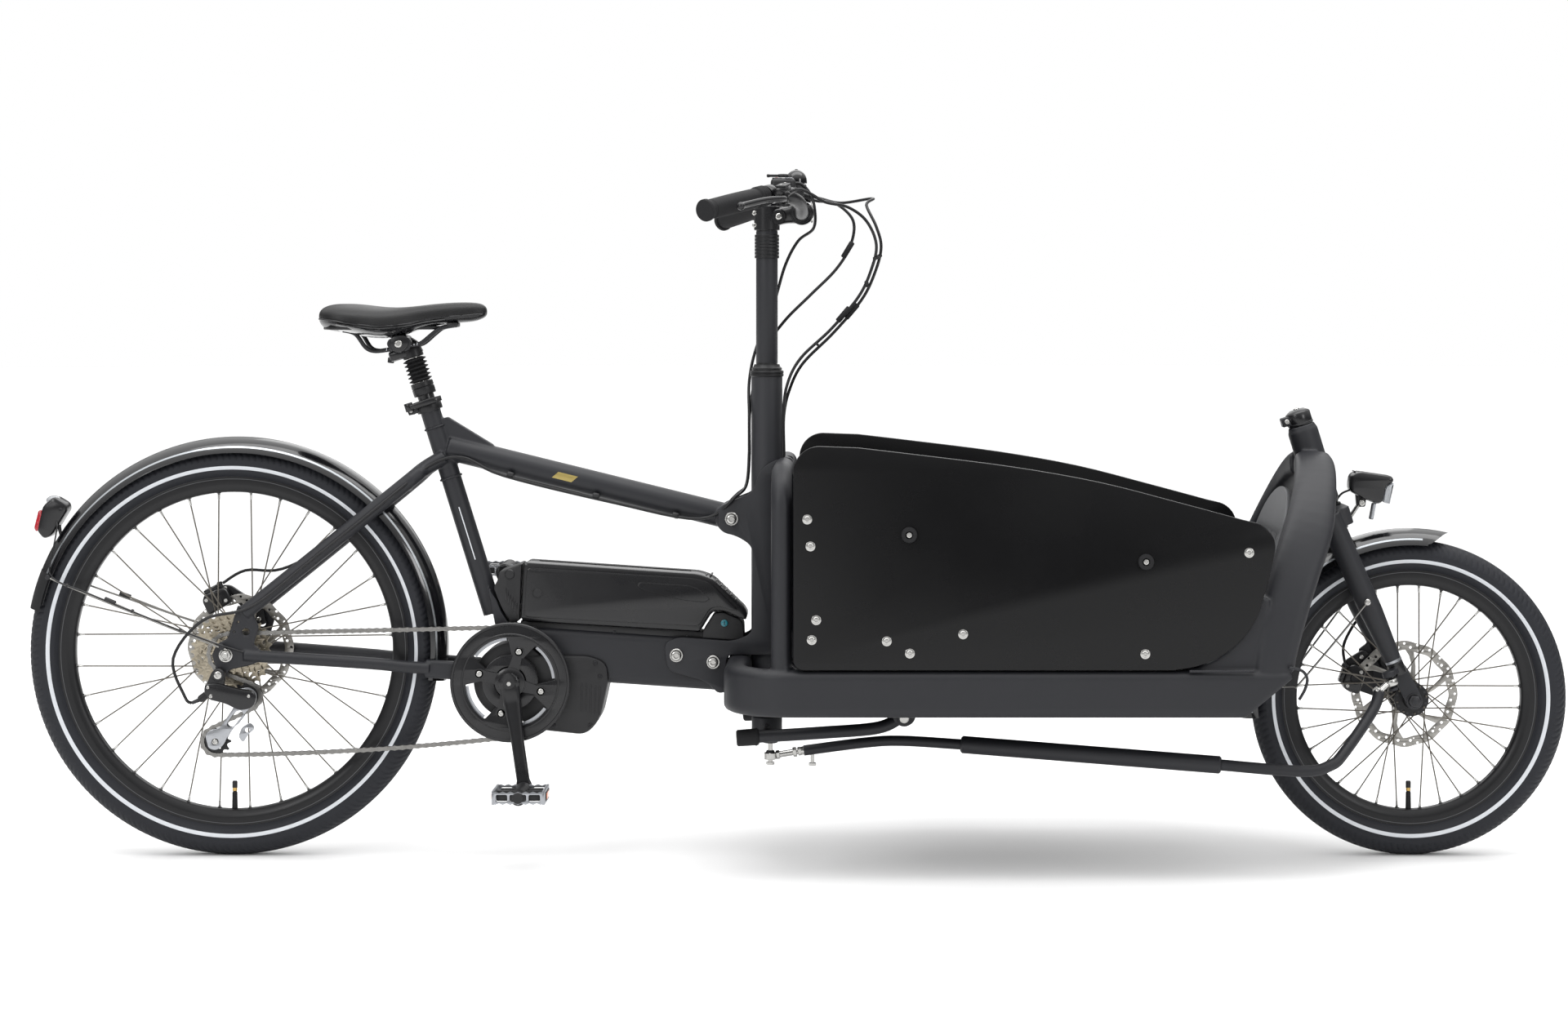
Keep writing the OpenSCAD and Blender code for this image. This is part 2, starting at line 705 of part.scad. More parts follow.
module chainring() color(black_c) translate(crank_c) difference() {
    union() {
        slab(-chain_line - 0.9, -chain_line + 0.9) toothed(ring_teeth);
        disc([0, 0, 0], 97, -chain_line - 6.5, -chain_line - 4.5);
        // Standoffs between the ring and its guard.
        for (a = [16:90:286]) rotate([0, a, 0]) disc([52, 0, 0], 7, -chain_line - 3 - 1.5, -chain_line);
    }
    disc([0, 0, 0], 26, -90, 0);
    // Windows between the spider's arms.
    for (a = [61:90:331]) rotate([0, a, 0]) slab(-90, -30) intersection() {
        difference() {
            circle(r = 74);
            circle(r = 40);
        }
        polygon([[0, 0], [120, -72], [120, 72]]);
    }
    for (a = [16:90:286]) rotate([0, a, 0]) {
        disc([52, 0, 0], 4, -90, 0);
        translate([10, -58 - 0.1, -9.1]) cube([48.2, 5.2, 18.2]);
    }
}

module pedal() {
    difference() {
        union() {
            translate([0, -132, 0]) rotate([90, 0, 0]) cylinder(r = 13, h = 88, center = true);
            // Cage: two side plates and two end plates.
            for (x = [-1, 1]) translate([x * 40, -136, 0]) cube([5, 84, 22], center = true);
            for (y = [-96, -174]) translate([0, y, 0]) cube([80, 4, 20], center = true);
            for (x = [-1, 1]) translate([x * 22, -136, 0]) cube([36, 6, 12], center = true);
        }
        translate([0, -132, 0]) rotate([90, 0, 0]) cylinder(r = 5 + running, h = 120, center = true);
    }
}

right_pedal_c = crank_c + crank_l * [sin(crank_lean), 0, -cos(crank_lean)];
left_pedal_c = crank_c - crank_l * [sin(crank_lean), 0, -cos(crank_lean)];

module pedal_right() color(black_c) translate(right_pedal_c) translate([0, -9, 0]) pedal();
module pedal_left() color(black_c) translate(left_pedal_c) mirror([0, 1, 0]) translate([0, -11, 0]) pedal();

module pulley(c) color(black_c) difference() {
    translate(c) slab(-chain_line - 0.9, -chain_line + 0.9) toothed(guide_teeth);
    disc(c, 3 + running, -90, 0);
}

module guide_pulley() pulley(guide_c);
module tension_pulley() pulley(tension_c);

// Chain route: [x, z, radius, side], where side is 1 if the chain runs clockwise round the wheel
// in the right-hand view and -1 if it runs the other way.
chain_wheels = [
    [crank_c.x, crank_c.z, pitch_r(ring_teeth), 1],
    [tension_c.x, tension_c.z, pitch_r(guide_teeth), 1],
    [guide_c.x, guide_c.z, pitch_r(guide_teeth), -1],
    [rear_axle.x, rear_axle.z, pitch_r(cog_teeth), 1]];

// Angle of the contact radius where the chain leaves wheel a for wheel b.
function leave_angle(a, b) = let (
    d = [b[0] - a[0], b[1] - a[1]], base = atan2(d.y, d.x),
    r = a[3] * a[2] - b[3] * b[2]) base + a[3] * acos(a[3] * r / norm(d)) ;

function wheel_point(w, a) = [w[0] + w[2] * cos(a), w[1] + w[2] * sin(a)];

function chain_arc(i) = let (
    n = len(chain_wheels), w = chain_wheels[i], before = chain_wheels[(i + n - 1) % n],
    after = chain_wheels[(i + 1) % n],
    a0 = leave_angle(before, w) + (before[3] == w[3] ? 0 : 180),
    a1 = leave_angle(w, after),
    turn = w[3] > 0 ? -(((a0 - a1) % 360 + 360) % 360) : (((a1 - a0) % 360 + 360) % 360),
    steps = ceil(abs(turn) / 9))
    [for (k = [0:steps]) wheel_point(w, a0 + turn * k / steps)];

chain_path = [for (i = [0:len(chain_wheels) - 1], p = chain_arc(i)) p];

function offset_path(p, d) = let (n = len(p))
    [for (i = [0:n - 1]) let (t = unit(p[(i + 1) % n] - p[(i + n - 1) % n])) p[i] + d * [-t.y, t.x]];

module chain_band(h) {
    difference() {
        polygon(offset_path(chain_path, h / 2));
        polygon(offset_path(chain_path, -h / 2));
    }
}

module chain() color(steel_c) {
    for (y = [-3.1, 1.5]) slab(-chain_line + y, -chain_line + y + 1.6) chain_band(7.6);
    // Pins of the two free runs.
    last = len(chain_path) - 1;
    arc0 = len(chain_arc(0));
    runs = [[chain_path[last], chain_path[0]], [chain_path[arc0 - 1], chain_path[arc0]]];
    for (run = runs) {
        l = norm(run[1] - run[0]);
        for (s = [3 * chain_pitch:chain_pitch:l - 3 * chain_pitch]) {
            p = run[0] + (run[1] - run[0]) * s / l;
            disc([p.x, 0, p.y], 1.9, -chain_line - 2.2, -chain_line + 2.2);
        }
    }
}

module derailleur() color(black_c) {
    // Mounting bolt, knuckles and parallelogram.
    disc([-934.5, 0, 304], 4.9, -86, -dropout_y - 0.5);
    disc([-934.5, 0, 304], 9, -90, -dropout_y - dropout_t);
    slab(-86, -76) hull() {
        translate([-934.5, 304]) circle(r = 9);
        translate([-944, 282]) circle(r = 9);
    }
    slab(-84, -62) hull() {
        translate([-940, 276]) circle(r = 12);
        translate([-890, 262]) circle(r = 15);
    }
    slab(-62, -57.5) translate([-893, 264]) circle(r = 13);
    color(steel_c) for (y = [-57.5, -45]) slab(y, y + 1.8) difference() {
        hull() {
            translate([guide_c.x, guide_c.z]) circle(r = 13);
            translate([tension_c.x, tension_c.z]) circle(r = 9);
        }
        hull() {
            translate([-914, 238]) circle(r = 4);
            translate([-926, 220]) circle(r = 4);
        }
    }
    // Pulley screws.
    for (c = [guide_c, tension_c]) color(steel_c) disc(c, 3, -57, -43.5);
    // Barrel adjuster for the cable.
    rod([-950, -73, 276], [-968, -73, 262], 5);
    rod([-966, -73, 264], [-980, -73, 257], 3.5);
}

module brake_caliper(size) {
    difference() {
        cube(size, center = true);
        cube([size.x + 2, 5, size.z + 2], center = true);
    }
    translate([0, 0, size.z / 2 + 3]) cube([size.x * 0.7, size.y, 6], center = true);
}

module rear_brake() color(black_c) {
    translate(rear_axle + [-38, 50, 78]) rotate([0, -26, 0]) brake_caliper([44, 28, 34]);
    // Post-mount adapter to the left dropout.
    slab(57, dropout_y) polygon([[-960, 436], [-944, 436], [-890, 400], [-884, 372],
        [-900, 368], [-918, 392]]);
}

module rear_light() {
    color(black_c) slab(-20, 20) polygon([[-1218, 588], [-1236, 572], [-1246, 532], [-1234, 518],
        [-1222, 524], [-1196, 566], [-1198, 576]]);
    color("#b3141d") slab(-22, 22) polygon([[-1236.2, 572], [-1241, 570], [-1251, 530], [-1246.2, 530]]);
}

// A mudguard arc about an axle, in the side view.
module fender_arc(c, r, from, to) translate(c) rotate([90, 0, 0])
    rotate_extrude(angle = to - from, start = from) translate([r - 38, 0]) difference() {
        circle(r = 38);
        circle(r = 35.6);
        translate([-60, -50]) square([80, 100]);
    }

fender_c = rear_axle + [5.5, 0, 5];

module rear_fender() {
    color(black_c) fender_arc(fender_c, 346, -9, 167);
    color(steel_c) mirror_copy() {
        rod([-1223, 33, 457], [-940, 80, 350], 1.8);
        rod([-1223, 33, 457], [-1223, 28, 457], 2.4);
        rod([-940, 80, 350], [-930, 80, 348], 4);
    }
}

// ---------------------------------------------------------------- fork and front gear

module fork() color(frame_c) difference() {
    union() {
        head_frame() {
            // Steerer, lower race, crown and top clamp.
            translate([0, 0, head_bottom_t - 30]) cylinder(r = 14.3, h = head_top_t - head_bottom_t + 50);
            translate([0, 0, head_bottom_t - 14]) cylinder(r = 24, h = 5.5);
            translate([4, 0, head_bottom_t - 28]) rounded_box([50, 2 * leg_y + 16, 29], 16);
            translate([0, 0, head_top_t + 8.5]) cylinder(r = 21, h = 3.5);
            translate([0, 0, head_top_t + 12]) cylinder(r = 20, h = 16);
            translate([-20, 0, head_top_t + 20]) cube([20, 24, 15], center = true);
            translate([0, 0, head_top_t + 28]) cylinder(r1 = 19, r2 = 10, h = 5);
            // Tapered legs.
            mirror_copy() translate(leg_top) rotate([0, -leg_rake, 0]) {
                translate([0, 0, -leg_straight]) cylinder(r1 = 18.4, r2 = 19.5, h = leg_straight);
                translate([0, 0, -leg_straight - leg_taper]) cylinder(r1 = 12.4, r2 = 18.4, h = leg_taper);
            }
        }
        // Dropouts.
        mirror_copy() {
            disc(front_axle, 14, 50, 58);
            slab(50, 58) polygon([[966, 303], [973, 318], [987, 316], [1013, 266], [991, 248]]);
        }
        disc(front_axle, axle_r, -68, 66);
        mirror_copy() disc(front_axle, 9, 58, 66);
        // Lug and stud for the steering link.
        head_frame() {
            translate([link_forward, -link_lateral, -link_down + 9]) cylinder(r = 11, h = 10);
            translate([link_forward + 9, -(link_lateral + leg_y) / 2, -link_down + 14])
                rotate(51) cube([34, 16, 9.4], center = true);
            translate([link_forward, -link_lateral, -link_down - 12]) cylinder(r = stud_r, h = 25);
            translate([link_forward, -link_lateral, -link_down - 14]) cylinder(r = 8, h = 5);
        }
        // Caliper posts on the left leg.
        slab(56, 66) polygon([[930, 330], [950, 345], [972, 300], [985, 262], [960, 250], [925, 262]]);
    }
}

front_fender_c = front_axle;

module front_fender() {
    color(black_c) fender_arc(front_fender_c, 277, 76, 187);
    color(steel_c) mirror_copy() {
        pipe([[921, 83, 421], [814, 54.8, 285], [808, 53.2, 281], [737, 33.5, 278]], 1.8, n = 1);
        rod([921, 80.5, 421], [921, 86, 421], 5);
        rod([737, 35, 278], [737, 29, 278], 3);
    }
    // Bracket up to the crown.
    color(steel_c) translate([888, -9, 504]) cube([4, 18, 58]);
}

light_pivot = [923, 0, 575];

module headlight() {
    color(black_c) slab(-22, 22) offset(r = 5) offset(delta = -5)
        polygon([[903, 611], [906, 625], [918, 630], [972, 622], [976, 612], [962, 606],
            [957, 578], [948, 574], [930, 581], [930, 570], [916, 570], [916, 586], [902, 596]]);
    color("#d8dde0") slab(-19, 19) polygon([[962.1, 605], [975, 611], [968, 574], [957.2, 577]]);
    color(steel_c) rod([941, 0, 576], [936, 0, 548], 4);
}

module front_brake() color(black_c) {
    translate([917, 38, 284]) rotate([0, -70, 0]) brake_caliper([44, 26, 32]);
    slab(47, 56) polygon([[905, 312], [935, 330], [952, 318], [952, 282], [925, 262],
        [912, 258], [905, 270]]);
}

// ---------------------------------------------------------------- steering

module steering_column() color(frame_c) {
    difference() {
        union() {
            translate([mast_x, 0, column_bottom]) cylinder(d = column_d, h = 1024 - column_bottom);
            // Spacers and top cap under the stem.
            translate([mast_x, 0, mast_top + 2.5]) cylinder(d = mast_d - 2, h = 6);
            // Steering arm under the frame.
            hull() {
                translate([mast_x, 0, column_bottom - 2]) cylinder(r = 24, h = 12);
                translate([mast_x + link_forward, -link_lateral, column_bottom - 2]) cylinder(r = 12, h = 10);
            }
            translate([mast_x, 0, column_bottom]) cylinder(r = 25, h = 30);
        }
        translate([mast_x, 0, 260]) cylinder(r = column_d / 2 - 3, h = 800);
    }
    // Ball stud.
    color(steel_c) translate([mast_x + link_forward, -link_lateral, rod_z - 14]) {
        cylinder(r = 4, h = column_bottom - rod_z + 14);
        cylinder(r = 7, h = 5);
    }
}

link_rear = [mast_x + link_forward, -link_lateral, rod_z];
link_front = head_point(link_forward, -link_lateral, -link_down);

module rod_end() color(steel_c) difference() {
    translate(link_rear) cylinder(r = 10.5, h = 11, center = true);
    translate(link_rear) cylinder(r = 4 + running, h = 40, center = true);
}

module tie_rod() {
    a = link_rear;
    b = link_front;
    color(steel_c) difference() {
        rod(a + [11, 0, 0], a + [56, 0, 9], 5);
        translate(a) cylinder(r = 11.5, h = 30, center = true);
    }
    color(frame_c) {
        pipe([a + [54, 0, 8.6], [110, -81, 194], [170, -86, 197.5], [268, -100.3, 193.4]],
            8.5, n = 3, sides = 16);
        rod([264, -99.7, 193.6], [675, -165, 170], 14);
        pipe([[673, -164.7, 170.2], [800, -184.6, 163], [846, -184, 172], [872, -168, 192],
            [925, -112, 250], b + [-22, -10, -14]], 9, n = 3, sides = 16);
    }
    color(steel_c) difference() {
        union() {
            head_frame() translate([link_forward, -link_lateral, -link_down - 5]) cylinder(r = 10.5, h = 10);
            rod(b + [-22, -10, -14], b + [-8, -4, -3], 5);
        }
        // Open pivot: wider than the stud, so that the link can follow the tilted fork.
        head_frame() translate([link_forward, -link_lateral, -link_down - 30])
            cylinder(r = stud_r + open_pivot_play, h = 60);
    }
}

// Half of the handlebar, on the right side.
bar_route = [bar_c + [0, 1, 0], bar_c + [0, -40, 0], bar_c + [-3, -92, 14],
             bar_c + [-20, -142, 22], grip_in, grip_out];

module handlebar() color(black_c) {
    mirror_copy() pipe(bar_route, bar_d / 2, n = 3, sides = 16);
    translate(bar_c) rotate([90, 0, 0]) cylinder(r = 16, h = 50, center = true);
    // Stem: collar on the column and a forward arm.
    difference() {
        union() {
            translate([mast_x, 0, 1024]) cylinder(r = 21, h = 40);
            hull() {
                translate([mast_x + 12, 0, 1046]) cube([10, 34, 28], center = true);
                translate(bar_c) rotate([90, 0, 0]) cylinder(r = 19, h = 40, center = true, $fn = 32);
            }
        }
        translate([mast_x, 0, 1020]) cylinder(r = column_d / 2 - 3, h = 30);
    }
}

module grips() color(rubber_c) mirror_copy() difference() {
    union() {
        rod(grip_in, grip_out, 15.5);
        rod(grip_out - 3 * unit(grip_out - grip_in), grip_out + 5 * unit(grip_out - grip_in), 17.5);
    }
    rod(grip_in - 5 * unit(grip_out - grip_in), grip_out, bar_d / 2);
}

grip_dir = unit(grip_out - grip_in);
grip_front = unit([-grip_dir.y, grip_dir.x, 0]);
lever_pivot = grip_in - 14 * grip_dir + 28 * grip_front - [0, 0, 8];

module controls() color(black_c) {
    // Brake perches with their clamps.
    mirror_copy() {
        translate(grip_in - 12 * grip_dir) rotate([0, 0, -34]) cube([34, 18, 32], center = true);
        difference() {
            translate(lever_pivot - 2 * grip_front) rotate([0, 0, -34]) cube([24, 24, 22], center = true);
            translate(lever_pivot + 8 * grip_front) rotate([0, 0, -34]) cube([40, 60, 12.4], center = true);
        }
        // Pivot pin of the brake lever.
        translate(lever_pivot) cylinder(r = 3, h = 20, center = true);
    }
    // Shifter body on the right, display in the middle, bell body.
    translate([-22, -112, 1092]) cube([40, 34, 26], center = true);
    translate([2, 0, 1082]) rotate([0, 20, 0]) cube([46, 66, 12], center = true);
    translate([-2, -62, 1088]) cylinder(r = 20, h = 27);
    translate([-2, -62, 1060]) cylinder(r = 13, h = 28);
}

module lever_blade() {
    difference() {
        union() {
            translate(lever_pivot) cylinder(r = 9, h = 12, center = true);
            pipe([lever_pivot, grip_in + 8 * grip_dir + 43 * grip_front - [0, 0, 4.2],
                grip_in + 50 * grip_dir + 40 * grip_front,
                grip_in + 116 * grip_dir + 37 * grip_front], 5, sides = 12);
        }
        translate(lever_pivot) cylinder(r = 3 + running, h = 40, center = true);
    }
}

module brake_lever_right() color(black_c) lever_blade();
module brake_lever_left() color(black_c) mirror([0, 1, 0]) lever_blade();

module shift_lever() color(black_c) {
    translate([-22, -112, 1106.5]) cylinder(r = 9, h = 5);
    translate([-46, -116, 1106.5]) cube([26, 8, 5]);
}

module bell_lever() color(black_c) {
    translate([-28, -66, 1094]) cube([3.5, 8, 14]);
    translate([-26.2, -62, 1107]) cylinder(r = 3, h = 3.2);
    translate([-42, -66, 1104]) cube([15, 8, 4]);
}

// ---------------------------------------------------------------- seat

module seatpost() color(black_c) difference() {
    union() {
        seat_frame(200) cylinder(d = 27.2, h = 292);
        seat_frame(488) cylinder(r = 18.5, h = 22);
    }
    seat_frame(300) cylinder(r = 11.3, h = 300);
}

module seatpost_head() color(black_c) {
    seat_frame(400) cylinder(r = 11.2, h = 160);
    seat_frame(552) cylinder(r = 17, h = 26);
    seat_frame(556) translate([-20, 0, 8]) cube([34, 30, 18], center = true);
    // Rail cradle.
    translate([-652, 0, 838]) rotate([90, 0, 0]) cylinder(r = 15, h = 62, center = true);
}

module seatpost_boot() color(rubber_c) difference() {
    union() for (i = [0:5]) seat_frame(510.4 + i * 6.8) {
        cylinder(r1 = 15, r2 = 19.5, h = 3.4);
        translate([0, 0, 3.4]) cylinder(r1 = 19.5, r2 = 15, h = 3.4);
    }
    seat_frame(500) cylinder(r = 12, h = 60);
}

module saddle_rails() color(black_c) mirror_copy()
    pipe([[-742, 34, 860], [-722, 32, 856], [-700, 24, 827], [-684, 22, 826],
        [-618, 22, 838], [-584, 16, 864], [-562, 12, 868]], 3.5, n = 3, sides = 10);

// Saddle sections from tail to nose: [x, half width, underside, side height, top].
saddle_sections = [[0, 30, 862, 872, 884], [8, 62, 850, 874, 897], [30, 82, 846, 872, 904],
                   [60, 86, 846, 868, 902], [95, 74, 850, 866, 898], [130, 50, 854, 868, 898],
                   [170, 28, 866, 876, 902], [215, 22, 870, 882, 906], [250, 19, 872, 884, 903],
                   [266, 13, 876, 884, 897], [272, 6, 880, 884, 890]];

function saddle_ring(s) = let (x = -782 + s[0] * saddle_l / 272, w = s[1] * saddle_w / 172)
    [for (k = [0:19]) let (a = 18 * k, u = cos(a), v = sin(a))
        [x, w * sign(u) * pow(abs(u), 0.8),
            v >= 0 ? s[3] + (s[4] - s[3]) * pow(v, 0.8) : s[3] + (s[3] - s[2]) * v]];

module saddle() color(black_c) skin([for (s = saddle_sections) saddle_ring(s)]);

lever_c = [-29, -19, 8];

module clamp_lever() color(black_c) {
    seat_frame(seat_top_t) {
        difference() {
            translate(lever_c + [0, 0, -7]) cylinder(r = 7, h = 14);
            translate(lever_c + [0, 0, -8]) cylinder(r = 2.5, h = 20);
        }
        translate(lever_c + [4, -9, -5]) cube([44, 6, 9]);
        translate(lever_c + [46, -9, -5]) rotate([0, 0, 25]) cube([14, 5, 9]);
    }
}

// ---------------------------------------------------------------- cables

cable_r = 2.5;
mast_side = mast_d / 2 + 3.2;

// Hoses and cables from the controls: out forward, then back and down beside the mast.
front_hose = [[14, -122, 1064], [46, -96, 1067], [82, -60, 1060], [112, -34, 1038], [128, -18, 1000],
              [120, -8, 960], [99, -6, 915], [54, -8, 862], [4, -12, 814], [-18, -22, 770],
              [-24, -24, 720], [-24, -24, 662]];
rear_hose = [[26, 120, 1064], [70, 96, 1072], [122, 60, 1078], [112, 24, 1066], [128, 2, 1030],
             [136, -2, 996], [126, 0, 955], [104, 2, 910], [58, 0, 856], [8, 4, 806],
             [-14, 22, 764], [-24, 24, 720], [-24, 24, 662]];
shift_cable = [[10, -104, 1052], [30, -92, 1040], [26, -60, 1026], [0, -14, 1006], [-22, 16, 966],
               [-42, 30, 900], [-70, 30, 830], [-81, 16, 776], [mast_x - mast_side, -10, 720],
               [mast_x - mast_side, -10, 662]];
light_cable = [[30, 24, 1072], [62, 20, 1068], [90, 14, 1040], [86, 8, 1000], [62, 6, 960],
               [20, 14, 918], [-24, 27, 874], [-62, 38, 820], [-74, 30, 770],
               [mast_x - mast_side, 8, 720], [mast_x - mast_side, 8, 662]];

module handlebar_cables() color(black_c) {
    for (route = [front_hose, rear_hose, shift_cable, light_cable]) pipe(route, cable_r);
}

// Runs that the frame carries along the top tube to the rear.
top_run_right = [[mast_x - mast_side, -10, 661.5], [mast_x - mast_side - 4, -10, 610],
                 [-100, -40, 590], [-160, -26, 552], [-300, -24, 578], [-480, -24, 622],
                 [-548, -24, 652], [-600, -32, 640], [-660, -64, 590], [-780, -74, 494],
                 [-880, -82, 415], [-960, -84, 392], [-1008, -84, 330], [-990, -80, 268],
                 [-981, -73, 257]];
top_run_left = [[mast_x - mast_side, 8, 661.5], [mast_x - mast_side - 4, 8, 610],
                [-100, 40, 590], [-160, 26, 552], [-300, 24, 578], [-480, 24, 622],
                [-548, 24, 652], [-600, 34, 648], [-660, 66, 600], [-780, 76, 505],
                [-860, 74, 462], [-920, 66, 460], [-955, 52, 440]];
module frame_cables() color(black_c) {
    for (route = [top_run_right, top_run_left]) pipe(route, cable_r, n = 3);
}

// ---------------------------------------------------------------- parts

seat_tube();
top_tube();
lower_beam();
rear_stays();
mast_tube();
mast_plates();
box_frame();
front_beams();
motor();
battery_rail();
battery();
lock_barrel();
box_sides();
box_boards();
box_fasteners();
frame_bolts();
rear_fender();
rear_light();
chain();
derailleur();
rear_brake();
frame_cables();
handlebar_cables();
rear_rim();
rear_tyre();
rear_spokes();
rear_hub();
rear_rotor();
cassette();
crank_arms();
chainring();
pedal_right();
pedal_left();
guide_pulley();
tension_pulley();
seatpost();
seatpost_head();
seatpost_boot();
saddle_rails();
saddle();
clamp_lever();
steering_column();
handlebar();
grips();
controls();
brake_lever_right();
brake_lever_left();
shift_lever();
bell_lever();
rod_end();
tie_rod();
fork();
front_fender();
headlight();
front_brake();
front_rim();
front_tyre();
front_spokes();
front_hub();
kickstand();
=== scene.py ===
"""Electric cargo bicycle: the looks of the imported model.

Shapes are built in millimetres in the CAD frame and scaled to metres when they are finished.
"""
import bpy, bmesh, json, math
from mathutils import Matrix, Vector

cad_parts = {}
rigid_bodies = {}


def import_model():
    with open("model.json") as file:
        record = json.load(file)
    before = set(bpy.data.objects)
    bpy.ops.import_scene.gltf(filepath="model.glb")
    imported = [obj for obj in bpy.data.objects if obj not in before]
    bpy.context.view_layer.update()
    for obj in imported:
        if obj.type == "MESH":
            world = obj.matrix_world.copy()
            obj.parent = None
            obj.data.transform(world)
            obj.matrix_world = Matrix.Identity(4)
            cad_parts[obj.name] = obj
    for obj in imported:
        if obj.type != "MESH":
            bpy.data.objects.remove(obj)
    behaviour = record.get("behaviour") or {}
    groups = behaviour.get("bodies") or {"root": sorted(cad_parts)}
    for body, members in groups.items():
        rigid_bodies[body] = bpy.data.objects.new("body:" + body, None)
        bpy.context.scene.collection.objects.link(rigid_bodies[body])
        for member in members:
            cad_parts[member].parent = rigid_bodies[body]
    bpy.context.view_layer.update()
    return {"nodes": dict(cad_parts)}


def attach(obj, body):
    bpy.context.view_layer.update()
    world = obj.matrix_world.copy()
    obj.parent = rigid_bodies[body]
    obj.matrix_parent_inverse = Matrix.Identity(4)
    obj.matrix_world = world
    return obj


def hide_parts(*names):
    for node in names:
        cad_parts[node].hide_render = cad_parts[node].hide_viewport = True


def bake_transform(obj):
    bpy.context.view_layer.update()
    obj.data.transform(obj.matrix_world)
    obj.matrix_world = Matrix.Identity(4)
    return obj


for _o in list(bpy.data.objects):
    bpy.data.objects.remove(_o)
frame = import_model()
NODES = frame["nodes"]
TAU = 2 * math.pi

REAR = Vector((-924.75, 0, 334.5))
FRONT = Vector((1001.25, 0, 258))
CRANK = Vector((-467, 0, 288))
GUIDE = Vector((-895, 0, 265))
TENSION = Vector((-945.5, 0, 192))
MAST_X = -51.5
HEAD = Vector((835, 0, 672))
CHAIN_Y = -50
PITCH = 12.7
COGS = [11, 13, 16, 18, 21, 24, 28, 32]


def sin(a): return math.sin(math.radians(a))
def cos(a): return math.cos(math.radians(a))
def pitch_r(teeth): return PITCH / (2 * sin(180 / teeth))


def leaned(origin, lean):
    """Matrix whose +Z leans back by lean degrees from a point."""
    return Matrix.Translation(origin) @ Matrix.Rotation(math.radians(-lean), 4, "Y")


SEAT = leaned(CRANK, 17.3)
STEER = leaned(HEAD, 17)


# ------------------------------------------------------------------ materials

def _node(nt, kind, **values):
    n = nt.nodes.new(kind)
    for k, val in values.items():
        if k in n.inputs.keys():
            n.inputs[k].default_value = val
        else:
            setattr(n, k, val)
    return n


MATERIALS = {}


